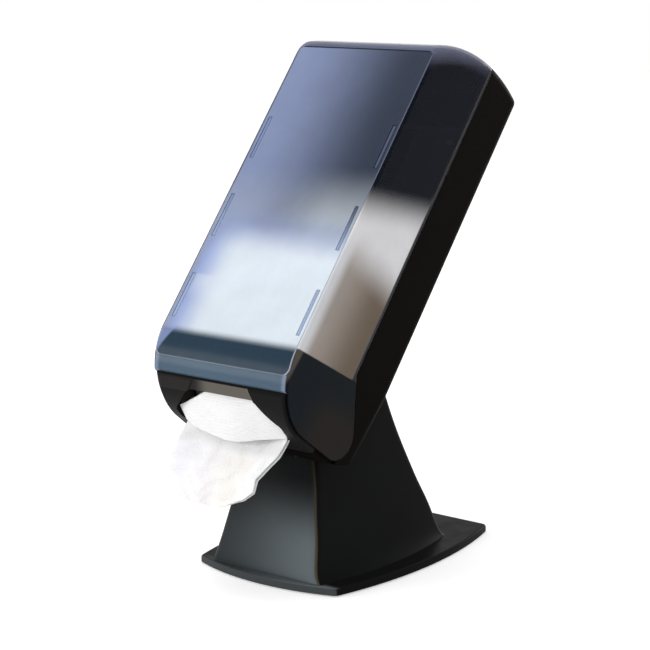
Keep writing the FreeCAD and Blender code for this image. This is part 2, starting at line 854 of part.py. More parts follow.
magazine = new_body("magazine_plate")
pad(
    magazine,
    "XZ_Plane",
    rounded(
        "(-magazine_width / 2)",
        "(magazine_width / 2)",
        "(-magazine_bottom)",
        MAGAZINE_TOP,
        "plate_corner",
    ),
    "plate_wall",
    f"-{MAGAZINE_BACK}",
)
pocket(
    magazine,
    "XZ_Plane",
    [
        rounded(
            "(-guide_slot_width / 2)",
            "(guide_slot_width / 2)",
            "(plate_corner - magazine_bottom)",
            f"({MAGAZINE_TOP} - plate_corner)",
            "plate_corner / 2",
        )
    ],
    [(*place, "screw_radius + hole_gap") for place in post_places],
)
sub_part("magazine_back", magazine)
RAIL_INSIDE = "(wipe_width / 2 + soft_gap)"
RAIL_FRONT = f"({MAGAZINE_FRONT} - guide_reach)"
for side, sign in sides:
    rail = new_body(f"rail_{side}")
    outline = [
        (RAIL_INSIDE, RAIL_FRONT),
        (f"{RAIL_INSIDE} + guide_wall", RAIL_FRONT),
        (f"{RAIL_INSIDE} + guide_wall", MAGAZINE_FRONT),
        (f"{RAIL_INSIDE} - guide_foot", MAGAZINE_FRONT),
        (f"{RAIL_INSIDE} - guide_foot", f"{MAGAZINE_FRONT} - guide_wall"),
        (RAIL_INSIDE, f"{MAGAZINE_FRONT} - guide_wall"),
    ]
    if sign:
        outline = [(f"-({u})", v) for u, v in reversed(outline)]
    pad(rail, "XY_Plane", outline, f"{MAGAZINE_TOP} - guide_bottom", "guide_bottom")
    sub_part(f"stack_guide_{side}", rail)


POST_HEAD_FRONT = f"({MAGAZINE_FRONT} - screw_head_height)"
post_screws = screws(
    "post_screw",
    bars("post_shaft", "y", post_places, "screw_radius", MAGAZINE_FRONT, SCREW_END),
    bars("post_head", "y", post_places, "screw_head_radius", POST_HEAD_FRONT, MAGAZINE_FRONT),
)
sub_part("magazine_screws", post_screws)

# Wipes: the stack fills the nose down to the mouth, and one wipe's tab hangs out of it

stack = common(
    "stack",
    envelope("stack_form", f"{NOSE_INNER} + soft_gap"),
    block(
        "stack_block",
        ("-wipe_width / 2", "wipe_width / 2"),
        ("stack_front", "stack_front + wipe_fold"),
        ("-body_width", "stack_top"),
    ),
)
sub_part("wipe_stack", stack)

tab_half = value("wipe_width / 2")
tab_start = value(f"{NOSE_INNER} + soft_gap - {BELLY_BOTTOM}")


def tab_section(drop_share, left_share, right_share, bow_share):
    """One level of the tab: a thin band that bows forwards between its left and right edges."""
    height = tab_start - drop_share * value("tab_length")
    depth = value("tab_depth") + TAB_LEAN_SHARE * drop_share * value("tab_length")
    bow = value("wipe_width") * TAB_BOW_SHARE * bow_share
    left, right = (share * value("wipe_width") for share in (left_share, right_share))
    middle = (left + right) / 2
    thick = value("tab_thickness")

    def band(offset):
        return Part.Arc(
            FreeCAD.Vector(left, depth + offset, height),
            FreeCAD.Vector(middle, depth + offset - bow, height),
            FreeCAD.Vector(right, depth + offset, height),
        ).toShape()

    front, back = band(0), band(thick)
    sides_of_band = [
        Part.LineSegment(front.Vertexes[end].Point, back.Vertexes[end].Point).toShape() for end in (1, 0)
    ]
    return Part.Wire([front, sides_of_band[0], back, sides_of_band[1]])


tab = doc.addObject("Part::Feature", "tab")
tab.Shape = Part.makeLoft([tab_section(*shares) for shares in TAB_SHARES], True, True)
sub_part("hanging_wipe", tab)

# Pusher: follower plate with an arm through the slot, a carriage on the rod, two bushes and a screwed weight

PUSHER_BOTTOM = "(stack_top + soft_gap)"
PUSHER_TOP = f"({PUSHER_BOTTOM} + pusher_wall)"
CARRIAGE_TOP = f"({PUSHER_BOTTOM} + carriage_height)"
CARRIAGE_HALF = "(carriage_width / 2)"
ROD = ("0", "rod_depth")
pusher_form = fuse(
    "pusher_form",
    block(
        "pusher_plate",
        ("-wipe_width / 2 + plate_wall", "wipe_width / 2 - plate_wall"),
        ("stack_front + plate_wall", "stack_front + wipe_fold - plate_wall"),
        (PUSHER_BOTTOM, PUSHER_TOP),
    ),
    block(
        "pusher_arm",
        ("-arm_width / 2", "arm_width / 2"),
        ("stack_front + wipe_fold - plate_wall * 4", f"rod_depth - {CARRIAGE_HALF}"),
        (PUSHER_BOTTOM, f"{PUSHER_BOTTOM} + carriage_height * 2 / 3"),
    ),
    block(
        "carriage",
        (f"-{CARRIAGE_HALF}", CARRIAGE_HALF),
        (f"rod_depth - {CARRIAGE_HALF}", f"rod_depth + {CARRIAGE_HALF}"),
        (PUSHER_BOTTOM, CARRIAGE_TOP),
    ),
)
weight_places = [
    (place, "(stack_front + wipe_fold / 2)")
    for place in ("post_radius * 2 - weight_width / 2", "weight_width / 2 - post_radius * 2")
]
pusher = cut(
    "pusher_bored",
    pusher_form,
    bar("carriage_bore", "z", "rod_radius + bush_wall + hole_gap", "0", "body_width * 2", ROD),
    *bars("pusher_hole", "z", weight_places, "screw_radius", "0", "body_width * 2"),
)
sub_part("pusher", pusher)
WEIGHT_TOP = f"({PUSHER_TOP} + weight_height)"
weight = cut(
    "weight_bored",
    block(
        "weight",
        ("-weight_width / 2", "weight_width / 2"),
        ("stack_front + wipe_fold / 2 - weight_depth / 2", "stack_front + wipe_fold / 2 + weight_depth / 2"),
        (PUSHER_TOP, WEIGHT_TOP),
    ),
    *bars("weight_hole", "z", weight_places, "screw_radius + hole_gap", "0", "body_width * 2"),
)
sub_part("pusher_weight", weight)
WEIGHT_HEAD_TOP = f"({WEIGHT_TOP} + screw_head_height)"
weight_screws = screws(
    "weight_screw",
    bars("weight_shaft", "z", weight_places, "screw_radius", f"{PUSHER_BOTTOM} + soft_gap", WEIGHT_TOP),
    bars("weight_head", "z", weight_places, "screw_head_radius", WEIGHT_TOP, WEIGHT_HEAD_TOP),
)
sub_part("weight_screws", weight_screws)


def ring(name, radius, hole, low, high, centre):
    body = bar(f"{name}_body", "z", radius, low, high, centre)
    return cut(name, body, bar(f"{name}_hole", "z", hole, low, high, centre))


bush_ends = (
    (PUSHER_BOTTOM, f"{PUSHER_BOTTOM} + bush_length"),
    (f"{CARRIAGE_TOP} - bush_length", CARRIAGE_TOP),
)
rod_bushes = [
    ring(f"rod_bush_{number}", "rod_radius + bush_wall", "rod_radius + running_gap", low, high, ROD)
    for number, (low, high) in enumerate(bush_ends)
]
sub_part("pusher_bushes", group("rod_bushes", *rod_bushes))
ROD_TOP = "(dome_height + dome_radius - rod_sink)"
sub_part("guide_rod", bar("rod", "z", "rod_radius", "-rod_bottom", ROD_TOP, ROD))
for place, low in (("top", f"({ROD_TOP} - bracket_height)"), ("bottom", "(-rod_bottom)")):
    bracket = cut(
        f"bracket_{place}",
        block(
            f"bracket_block_{place}",
            ("-bracket_width / 2", "bracket_width / 2"),
            ("rod_depth - bracket_width / 3", BACK_WALL),
            (low, f"{low} + bracket_height"),
        ),
        bar(f"bracket_hole_{place}", "z", "rod_radius", f"{low} - overrun", f"{low} + overrun", ROD),
    )
    sub_part(f"rod_bracket_{place}", bracket)

# Latch: push button with a hook in the housing's top, its guide and spring, and the strike in the cover

HOOK_HALF = "(hook_width / 2)"
CEILING = dome_at(LATCH_BACK, "housing_wall")
FLANGE_TOP = f"({CEILING} - soft_gap)"
HOOK_TOP = "(dome_height + dome_radius - hook_sink)"
HOOK_BOTTOM = f"({HOOK_TOP} - hook_wall)"
STRIKE_BOTTOM = "(dome_height + dome_radius - strike_sink)"
STRIKE_BACK = "(cover_depth - rim_length - rim_gap)"
STRIKE_FRONT = f"({STRIKE_BACK} - strike_length)"
TOOTH_BACK = f"({STRIKE_FRONT} - rim_gap * 2)"
TOOTH_FRONT = f"({TOOTH_BACK} - tooth_length)"
latch_button = fuse(
    "latch",
    block(
        "button_cap",
        ("-button_width / 2", "button_width / 2"),
        (LATCH_FRONT, LATCH_BACK),
        (f"{FLANGE_TOP} - button_flange", "dome_height + dome_radius + button_proud"),
    ),
    block(
        "button_flange",
        ("-button_width / 2 - button_flange / 2", "button_width / 2 + button_flange / 2"),
        (f"{LATCH_FRONT} - button_flange / 2", f"{LATCH_BACK} + button_flange / 2"),
        (f"{FLANGE_TOP} - button_flange", FLANGE_TOP),
    ),
    block(
        "button_stem",
        (f"-{HOOK_HALF}", HOOK_HALF),
        ("button_depth - hook_wall", "button_depth + hook_wall"),
        (HOOK_BOTTOM, f"{FLANGE_TOP} - button_flange"),
    ),
    block("hook_arm", (f"-{HOOK_HALF}", HOOK_HALF), (TOOTH_FRONT, "button_depth"), (HOOK_BOTTOM, HOOK_TOP)),
    block(
        "hook_tooth",
        (f"-{HOOK_HALF}", HOOK_HALF),
        (TOOTH_FRONT, TOOTH_BACK),
        (HOOK_BOTTOM, f"{STRIKE_BOTTOM} - moving_gap"),
    ),
)
sub_part("latch_button", latch_button)
SHELF_TOP = f"({HOOK_BOTTOM} - spring_length)"
SHELF_LOW = f"({SHELF_TOP} - housing_wall)"
GUIDE_TOP = f"({FLANGE_TOP} - button_flange - button_travel - soft_gap)"
latch_guide = fuse(
    "latch_guide_form",
    block(
        "latch_shelf",
        (f"-{HOOK_HALF} - hole_gap * 2 - housing_wall", f"{HOOK_HALF} + hole_gap * 2 + housing_wall"),
        ("button_depth - button_length / 2", BACK_WALL),
        (SHELF_LOW, SHELF_TOP),
    ),
    *[
        block(
            f"latch_cheek_{side}",
            across(sign, f"{HOOK_HALF} + hole_gap * 2", f"{HOOK_HALF} + hole_gap * 2 + housing_wall"),
            (LATCH_FRONT, LATCH_BACK),
            (SHELF_LOW, GUIDE_TOP),
        )
        for side, sign in sides
    ],
)
sub_part("latch_guide", latch_guide)
COIL_INSIDE = "(spring_radius - wire_radius * 2)"
coil = ring("coil", "spring_radius", COIL_INSIDE, SHELF_TOP, HOOK_BOTTOM, ("0", "button_depth"))
sub_part("latch_spring", coil)
strike = common(
    "strike",
    cover_inner,
    block(
        "strike_block",
        (f"-{HOOK_HALF} - hook_wall", f"{HOOK_HALF} + hook_wall"),
        (STRIKE_FRONT, STRIKE_BACK),
        (STRIKE_BOTTOM, "body_width * 3"),
    ),
)
sub_part("latch_strike", strike)

# Stand: flared foot with a hollow column, whose head is cut to the housing's back and underside

BASE_TOP = "(foot_proud + base_thickness)"


def bow_radius(half, bow):
    return f"(({half}) * ({half}) + ({bow}) * ({bow})) / (2 * ({bow}))"


def base_outline(margin):
    front = f"(base_front - {margin})"
    back = f"(base_back - {margin})"
    wide = f"(base_width / 2 - {margin})"
    narrow = f"(base_rear_width / 2 - {margin})"
    side = bow_radius(f"({front} + {back}) / 2", "base_side_bow")
    return [
        (f"-{wide}", f"-{front}", bow_radius(wide, "base_front_bow")),
        (wide, f"-{front}", side),
        (narrow, back),
        (f"-{narrow}", back, side),
    ]


def column_outline(shares, inset):
    _, width_share, front_share, back_share, bow_share = shares
    half = f"(column_width / 2 * {width_share} - {inset})"
    front = f"(column_front * {front_share} - {inset})"
    back = f"(column_back * {back_share} - {inset})"
    corner = f"(column_corner - {inset})"
    side = bow_radius(f"({front} + {back}) / 2 - {corner}", f"column_bow * {bow_share}")
    return [
        (f"{corner} - {half}", f"-{front}"),
        (f"{half} - {corner}", f"-{front}", corner),
        (half, f"{corner} - {front}", side),
        (half, f"{back} - {corner}", corner),
        (f"{half} - {corner}", back),
        (f"{corner} - {half}", back, corner),
        (f"-{half}", f"{back} - {corner}", side),
        (f"-{half}", f"{corner} - {front}", corner),
    ]


def column_loft(name, inset, start):
    sections = []
    for number, shares in enumerate(COLUMN_SHARES):
        section = new_sketch(f"{name}_{number}", "top", column_outline(shares, inset))
        height = f"{start} + (crease_height - column_sink - {start}) * {shares[0]}"
        sections.append(bind(section, Placement__Base__z=height))
    loft = doc.addObject("Part::Loft", name)
    loft.Sections = sections
    loft.Solid = True
    return loft


foot = prism("foot_prism", "top", base_outline("0"), "base_thickness", back="0")
bind(foot, Placement__Base__z="foot_proud")
base_top = value(BASE_TOP)


def is_upright(edge):
    return abs(ends(edge)[0].z - ends(edge)[1].z) > CLOSE


foot = rounded_edges("foot_corners", foot, (is_upright, "base_corner"))
foot = rounded_edges("foot", foot, (lambda edge: edge.CenterOfMass.z > base_top - CLOSE, "base_edge_round"))
column = column_loft("column", "0", f"({BASE_TOP} - base_thickness / 2)")
body_space = lean(group("body_space", outer))
head_space = lean(group("head_space", envelope("head_form", "(-head_wall)")))
stud_places = places("stud_spread", ("-stud_front", "stud_back"))
SEAT_TOP = "(foot_proud + ballast_thickness)"
studs = bars("stud", "z", stud_places, "stud_radius", SEAT_TOP, "stud_height")
hollow = cut("hollow", column_loft("column_hollow", "column_wall", "0"), head_space, *studs)
ballast_seat = prism("ballast_seat", "top", base_outline("ballast_margin"), SEAT_TOP, back="0")
head_holes = bars("head_hole", "y", mount_places, "bolt_radius + hole_gap", BACK_WALL, "body_depth + overrun")
stand = cut(
    "stand_bored",
    fuse("stand_form", foot, column),
    body_space,
    hollow,
    ballast_seat,
    *bars("stud_hole", "z", stud_places, "screw_radius", "0", f"{SEAT_TOP} + screw_length"),
    lean(group("head_holes", *head_holes)),
)
sub_part("stand_pedestal", stand, leaning=False)

ballast = new_body("ballast")
pad(ballast, "XY_Plane", base_outline("(ballast_margin + rim_gap)"), "ballast_thickness", "foot_proud")
pocket(ballast, "XY_Plane", [], [(*place, "screw_radius + hole_gap") for place in stud_places])
HEAD_TOP = "(foot_proud + screw_head_height)"
foot_places = places("foot_spread", ("-foot_front", "foot_back"))
ballast_plate = cut(
    "ballast_recessed",
    ballast,
    *bars("foot_recess", "z", foot_places, "foot_radius + hole_gap", "0", "foot_height"),
    *bars("head_recess", "z", stud_places, "screw_head_radius + hole_gap", "0", HEAD_TOP),
)
sub_part("ballast_plate", ballast_plate, leaning=False)
feet = bars("foot_pad", "z", foot_places, "foot_radius", "0", "foot_height")
sub_part("rubber_feet", group("feet", *feet), leaning=False)
base_screws = screws(
    "base_screw",
    bars("base_shaft", "z", stud_places, "screw_radius", HEAD_TOP, f"{SEAT_TOP} + screw_length - rim_gap"),
    bars("base_head", "z", stud_places, "screw_head_radius", "foot_proud", HEAD_TOP),
)
sub_part("base_screws", base_screws, leaning=False)

# Mount: a steel plate inside the column's head, four bolts from the housing and four nuts

PLATE_BACK = "(body_depth + head_wall)"
mount_plate = new_body("head_plate")
pad(
    mount_plate,
    "XZ_Plane",
    rounded(
        "(-mount_spread / 2 - mount_plate_margin)",
        "(mount_spread / 2 + mount_plate_margin)",
        "(-mount_low - mount_plate_margin)",
        "(mount_pitch - mount_low + mount_plate_margin)",
        "plate_corner",
    ),
    "mount_plate_wall",
    f"-{PLATE_BACK} - mount_plate_wall",
)
pocket(mount_plate, "XZ_Plane", [], [(*place, "bolt_radius + hole_gap") for place in mount_places])
sub_part("mount_plate", mount_plate)
NUT_FRONT = f"({PLATE_BACK} + mount_plate_wall)"
BOLT_END = f"({NUT_FRONT} + nut_height + rim_gap)"
bolts = screws(
    "mount_bolt",
    bars("bolt_shaft", "y", mount_places, "bolt_radius", BACK_WALL, BOLT_END),
    bars("bolt_head", "y", mount_places, "bolt_head_radius", f"{BACK_WALL} - bolt_head_height", BACK_WALL),
)
sub_part("mount_bolts", bolts)
nuts = []
for number, (x, z) in enumerate(mount_places):
    nut = doc.addObject("Part::Prism", f"nut_{number}")
    nut.Polygon = 6
    nut.Placement = FreeCAD.Placement(FreeCAD.Vector(), FreeCAD.Rotation(X, -90))
    bind(nut, Circumradius="bolt_head_radius + hole_gap", Height="nut_height")
    bind(nut, Placement__Base__x=x, Placement__Base__y=NUT_FRONT, Placement__Base__z=z)
    nut_hole = bar(f"nut_hole_{number}", "y", "bolt_radius", NUT_FRONT, BOLT_END, (x, z))
    nuts.append(cut(f"bored_nut_{number}", nut, nut_hole))
sub_part("mount_nuts", group("nut_set", *nuts))

# Every object is checked before any file is written

doc.recompute()
for item in doc.Objects:
    if "Invalid" in item.State or "Error" in item.State:
        raise SystemExit(f"{item.Name} is {item.State}")
os.makedirs("parts", exist_ok=True)
for item in sub_parts:
    shape = item.Shape
    if shape.isNull() or not shape.isValid() or not shape.Solids:
        raise SystemExit(f"{item.Label} has no sound solid")
    print(f"{item.Label}: {len(shape.Solids)} solids, {shape.Volume:.0f} cubic mm")
    shape.exportStep(f"parts/{item.Label}.step")
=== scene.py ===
import random
from math import cos, exp, pi, radians, sin

import bmesh
import bpy
from mathutils import Matrix, Vector, noise


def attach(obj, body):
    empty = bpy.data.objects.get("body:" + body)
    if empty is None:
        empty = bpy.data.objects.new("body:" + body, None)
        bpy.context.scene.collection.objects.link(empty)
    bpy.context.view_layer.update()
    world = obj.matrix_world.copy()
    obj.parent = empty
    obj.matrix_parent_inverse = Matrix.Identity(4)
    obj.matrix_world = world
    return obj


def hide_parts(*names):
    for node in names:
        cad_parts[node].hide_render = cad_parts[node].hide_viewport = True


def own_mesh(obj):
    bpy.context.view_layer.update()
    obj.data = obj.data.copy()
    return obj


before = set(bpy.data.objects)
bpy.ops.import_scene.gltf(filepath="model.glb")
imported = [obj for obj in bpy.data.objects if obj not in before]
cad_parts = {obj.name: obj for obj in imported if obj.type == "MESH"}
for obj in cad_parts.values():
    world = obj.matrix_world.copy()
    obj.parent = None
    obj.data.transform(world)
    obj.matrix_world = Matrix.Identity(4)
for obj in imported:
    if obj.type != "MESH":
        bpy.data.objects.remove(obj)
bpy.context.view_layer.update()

# Camera. It stands to the right of the dispenser and a little above its middle, as in the photograph,
# with a long lens, so the box shows its front and its right side with little perspective.
CAMERA_PLACE = (1.35817, -1.69814, 0.70391)
CAMERA_TURN = (78.67731, 0.3962, 38.88848)
CAMERA_LENS = 108.34

collection = bpy.context.scene.collection
camera = bpy.data.objects.new("camera", bpy.data.cameras.new("camera"))
camera.location = CAMERA_PLACE
camera.rotation_euler = [radians(turn) for turn in CAMERA_TURN]
camera.data.lens = CAMERA_LENS
collection.objects.link(camera)
bpy.context.scene.camera = camera

# Studio. A pale floor and a plain white surround, a wide soft key from the left front, a weaker lamp above
# and one behind that shows the back. The surround looks white, also in reflections, and lights softly.
FLOOR_HALF = 7
FLOOR_COLOUR = (0.86, 0.86, 0.86, 1)
FLOOR_GLOW = 0.42
WHITE = (1, 1, 1, 1)
SURROUND_LIGHT = 0.8
SURROUND_SEEN = 1
LAMPS = (
    ("key", (-2.1, -2.5, 0.95), 1.3, 33),
    ("top", (-0.6, -0.4, 2.8), 1.8, 12),
    ("back", (0, 2.8, 0.6), 1.2, 14),
)
AIM = (0, 0, 0.3)
NODE_STEP, NODE_DROP, NODES_IN_ROW = 220, 320, 9

bpy.context.scene.view_settings.view_transform = "Standard"


def adjust(made, **settings):
    """Sets up a node. A setting is one of its properties, or the value of its input of that name."""
    for name, value in settings.items():
        if hasattr(made, name):
            setattr(made, name, value)
        else:
            made.inputs[name.replace("_", " ")].default_value = value


def node(tree, kind, **settings):
    """Adds a shader node and sets it up. The nodes of a tree stand in rows, in the order of their making."""
    made = tree.nodes.new("ShaderNode" + kind)
    row, column = divmod(len(tree.nodes), NODES_IN_ROW)
    made.location = (NODE_STEP * (column - NODES_IN_ROW), -NODE_DROP * row)
    adjust(made, **settings)
    return made


def wire(tree, *ends):
    """Joins output to input, pair by pair."""
    for start, end in zip(ends[::2], ends[1::2]):
        tree.links.new(start, end)


def reckon(tree, operation, *values):
    """One Math node. Each value is a number or another node's output."""
    made = node(tree, "Math", operation=operation)
    for socket, value in zip(made.inputs, values):
        if isinstance(value, (int, float)):
            socket.default_value = value
        else:
            wire(tree, value, socket)
    return made.outputs[0]


def to_the_eye(tree):
    """1 for what is seen, also mirrored or through clear plastic, and 0 for rays that only carry light."""
    rays = node(tree, "LightPath").outputs
    seen = reckon(tree, "MAXIMUM", rays["Is Camera Ray"], rays["Is Glossy Ray"])
    return reckon(tree, "MAXIMUM", seen, rays["Is Transmission Ray"])


def plain_material(name):
    """Starts a material and returns it with its node tree and its shader."""
    made = bpy.data.materials.new(name)
    made.use_nodes = True
    return made, made.node_tree, made.node_tree.nodes["Principled BSDF"]


def piece(name, bm):
    """Turns a finished bmesh into an object at the origin."""
    mesh = bpy.data.meshes.new(name)
    bm.to_mesh(mesh)
    bm.free()
    made = bpy.data.objects.new(name, mesh)
    collection.objects.link(made)
    return made


floor_form = bmesh.new()
bmesh.ops.create_grid(floor_form, x_segments=2, y_segments=2, size=FLOOR_HALF)
floor = piece("floor", floor_form)
floor_paint, tree, shader = plain_material("pale_floor")
adjust(shader, Base_Color=FLOOR_COLOUR, Roughness=1, Specular_IOR_Level=0, Emission_Color=WHITE)
wire(tree, reckon(tree, "MULTIPLY", to_the_eye(tree), FLOOR_GLOW), shader.inputs["Emission Strength"])
floor.data.materials.append(floor_paint)

world = bpy.data.worlds.new("surround")
bpy.context.scene.world = world
world.use_nodes = True
tree = world.node_tree
tree.nodes.clear()
lit = node(tree, "Background", Color=WHITE, Strength=SURROUND_LIGHT)
white = node(tree, "Background", Color=WHITE, Strength=SURROUND_SEEN)
either = node(tree, "MixShader")
sky = node(tree, "OutputWorld")
wire(tree, to_the_eye(tree), either.inputs["Fac"], lit.outputs[0], either.inputs[1])
wire(tree, white.outputs[0], either.inputs[2], either.outputs[0], sky.inputs["Surface"])

for name, place, size, power in LAMPS:
    lamp = bpy.data.objects.new(name, bpy.data.lights.new(name, "AREA"))
    lamp.data.shape = "DISK"
    lamp.data.size = size
    lamp.data.energy = power
    lamp.location = place
    lamp.rotation_euler = (Vector(AIM) - lamp.location).to_track_quat("-Z", "Y").to_euler()
    collection.objects.link(lamp)

# Stand. One moulding of satin charcoal plastic: a wide foot that flares into a hollow column, whose head is
# cut square to the box. Its skin has the fine grain of the mould and a slight cloudiness. A painted pale
# sheen on the foot's front, a painted warm highlight down its rounded corner and a painted pale highlight
# along the foot's lower front edge are laid into its colour.
STAND_COLOUR = (0.0055, 0.0055, 0.0052, 1)
STAND_CLOUD = (0.0090, 0.0096, 0.0098, 1)
STAND_PAINTED_SHEEN = (0.134, 0.157, 0.167, 1)
STAND_CORNER_HIGHLIGHT = (0.085, 0.064, 0.040, 1)
STAND_RIM_HIGHLIGHT = (0.062, 0.070, 0.074, 1)
FRONT_TURN = (-0.85, -0.5)
LEDGE_TURN = (0.5, 0.9)
LEDGE_REACH = (-0.128, -0.118)
LEDGE_TOP = (0.02, 0.03)
SHEEN_TOP, SHEEN_ABOVE = (0.045, 0.12), 0.07
SHEEN_WIDTH, SHEEN_LEFT = (-0.08, 0.09), 0.22
CORNER_HIGHLIGHT_TOP = (0.03, 0.19)
HALFWAY_GAIN = 4
STAND_RIM_HIGHLIGHT_TOP = (0.009, 0.012)


def node_group(name, inputs, outputs):
    """Starts a node group with its sockets, given as name and kind of socket, or name, kind and value."""
    group = bpy.data.node_groups.new(name, "ShaderNodeTree")
    for wanted, way in ((inputs, "INPUT"), (outputs, "OUTPUT")):
        for label, kind, *start in wanted:
            socket = group.interface.new_socket(label, in_out=way, socket_type="NodeSocket" + kind)
            if start:
                socket.default_value = start[0]
    first = group.nodes.new("NodeGroupInput")
    last = group.nodes.new("NodeGroupOutput")
    first.location, last.location = (-NODE_STEP * (NODES_IN_ROW + 1), 0), (NODE_STEP, 0)
    return group, first.outputs, last.inputs


def ramp(tree, source, span, start=0, end=1):
    """A soft rise from start, where the span begins, to end. A span is in the source's own measure."""
    low, high = span
    made = node(
        tree, "MapRange", interpolation_type="SMOOTHSTEP",
        From_Min=low, From_Max=high, To_Min=start, To_Max=end,
    )
    wire(tree, source, made.inputs["Value"])
    return made.outputs["Result"]


def fade(tree, source, span, start=1, end=0):
    """A soft fall over the span."""
    return ramp(tree, source, span, start, end)


def all_of(tree, first, *others):
    """The product of masks: where all of them hold."""
    for other in others:
        first = reckon(tree, "MULTIPLY", first, other)
    return first


def blend_colour(tree, factor, first, second):
    """Mixes two colours, each a value or another node's output."""
    made = node(tree, "Mix", data_type="RGBA", clamp_factor=True)
    wire(tree, factor, made.inputs[0])
    for socket, colour in ((made.inputs[6], first), (made.inputs[7], second)):
        if isinstance(colour, tuple):
            socket.default_value = colour
        else:
            wire(tree, colour, socket)
    return made.outputs[2]


def layered(tree, tint, *layers):
    """Lays colours over a first one, one after another, each where its mask holds."""
    for mask, colour in layers:
        tint = blend_colour(tree, mask, tint, colour)
    return tint


grain, given, result = node_group(
    "moulded_grain",
    (
        ("Colour", "Color", (0.02, 0.02, 0.02, 1)),
        ("Cloud", "Color", (0.03, 0.03, 0.03, 1)),
        ("Grain", "Float", 1500.0),
        ("Roughness", "Float", 0.4),
        ("Unevenness", "Float", 0.1),
    ),
    (("Colour", "Color"), ("Roughness", "Float"), ("Height", "Float")),
)
spot = node(grain, "TexCoord").outputs["Object"]
pits = node(grain, "TexNoise", Detail=3, Roughness=0.6)
clouds = node(grain, "TexNoise", Scale=9, Detail=4, Roughness=0.55)
rubs = node(grain, "TexNoise", Scale=38, Detail=2)
uneven = node(grain, "MapRange", From_Min=0.3, From_Max=0.7, To_Min=-1, To_Max=1)
shine = node(grain, "Math", operation="ADD", use_clamp=True)
wire(grain, spot, pits.inputs["Vector"], spot, clouds.inputs["Vector"], spot, rubs.inputs["Vector"])
wire(grain, given["Grain"], pits.inputs["Scale"], pits.outputs["Fac"], result["Height"])
wire(grain, rubs.outputs["Fac"], uneven.inputs["Value"], given["Roughness"], shine.inputs[1])
wire(grain, all_of(grain, uneven.outputs["Result"], given["Unevenness"]), shine.inputs[0])
wire(grain, blend_colour(grain, clouds.outputs["Fac"], given["Colour"], given["Cloud"]), result["Colour"])
wire(grain, shine.outputs[0], result["Roughness"])


def surfaced(tree, shader, skin, depth):
    """Feeds a group's colour, roughness and height to the shader, the height as a bump of that depth."""
    bump = node(tree, "Bump", Strength=1, Distance=depth)
    wire(tree, skin.outputs["Colour"], shader.inputs["Base Color"])
    wire(tree, skin.outputs["Roughness"], shader.inputs["Roughness"])
    wire(tree, skin.outputs["Height"], bump.inputs["Height"], bump.outputs["Normal"], shader.inputs["Normal"])


def moulded(name, colour, cloud, grain_size, roughness, depth, unevenness=0.06, gloss=0.5, metal=0):
    """A moulded or plated skin: the grain group feeds its colour, its roughness and a fine bump."""
    made, tree, shader = plain_material(name)
    skin = node(
        tree, "Group", node_tree=grain,
        Colour=colour, Cloud=cloud, Grain=grain_size, Roughness=roughness, Unevenness=unevenness,
    )
    surfaced(tree, shader, skin, depth)
    adjust(shader, Specular_IOR_Level=gloss, Metallic=metal)
    return made


def skin_of(material):
    """A moulded skin's node tree, its shader and the colour that it has so far."""
    shader = material.node_tree.nodes["Principled BSDF"]
    return material.node_tree, shader, shader.inputs["Base Color"].links[0].from_socket


def coat(material, *names):
    """Gives CAD nodes their material."""
    for name in names:
        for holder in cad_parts[name].material_slots:
            holder.material = material


stand_plastic = moulded(
    "satin_charcoal", STAND_COLOUR, STAND_CLOUD, grain_size=1500, roughness=0.34, depth=0.00006, gloss=0.015
)
tree, shader, tint = skin_of(stand_plastic)
place = node(tree, "SeparateXYZ")
facing = node(tree, "SeparateXYZ")
wire(tree, node(tree, "TexCoord").outputs["Object"], place.inputs["Vector"])
wire(tree, node(tree, "NewGeometry").outputs["Normal"], facing.inputs["Vector"])
height = place.outputs["Z"]
front = fade(tree, facing.outputs["Y"], FRONT_TURN)
ledge = all_of(
    tree, ramp(tree, facing.outputs["Z"], LEDGE_TURN),
    fade(tree, place.outputs["Y"], LEDGE_REACH), fade(tree, height, LEDGE_TOP),
)
# painted sheen on the foot's front and on its low ledge, strongest low down and towards the right
painted_sheen = all_of(
    tree, fade(tree, height, SHEEN_TOP, end=SHEEN_ABOVE),
    reckon(tree, "MAXIMUM", front, ledge), ramp(tree, place.outputs["X"], SHEEN_WIDTH, start=SHEEN_LEFT),
)
# front times this is 1 where the surface is halfway round the corner, and 0 before and past it
halfway = reckon(tree, "SUBTRACT", HALFWAY_GAIN, reckon(tree, "MULTIPLY", front, HALFWAY_GAIN))
# painted warm highlight down the rounded corner between the front and the side
corner_highlight = all_of(tree, front, halfway, fade(tree, height, CORNER_HIGHLIGHT_TOP))
# painted pale highlight along the foot's lower front edge
rim_highlight = all_of(tree, front, fade(tree, height, STAND_RIM_HIGHLIGHT_TOP))
tint = layered(tree, tint, (painted_sheen, STAND_PAINTED_SHEEN), (corner_highlight, STAND_CORNER_HIGHLIGHT), (rim_highlight, STAND_RIM_HIGHLIGHT))
wire(tree, tint, shader.inputs["Base Color"])
coat(stand_plastic, "stand_pedestal")

# Foot's underside. A zinc-plated steel plate weighs the stand down, four screws hold it and four rubber pads
# stand under it. The other plates, weights and screws of the dispenser have the same zinc.
ZINC = (0.50, 0.51, 0.52, 1)
ZINC_CLOUD = (0.40, 0.42, 0.45, 1)
RUBBER = (0.016, 0.016, 0.016, 1)
RUBBER_CLOUD = (0.024, 0.024, 0.024, 1)

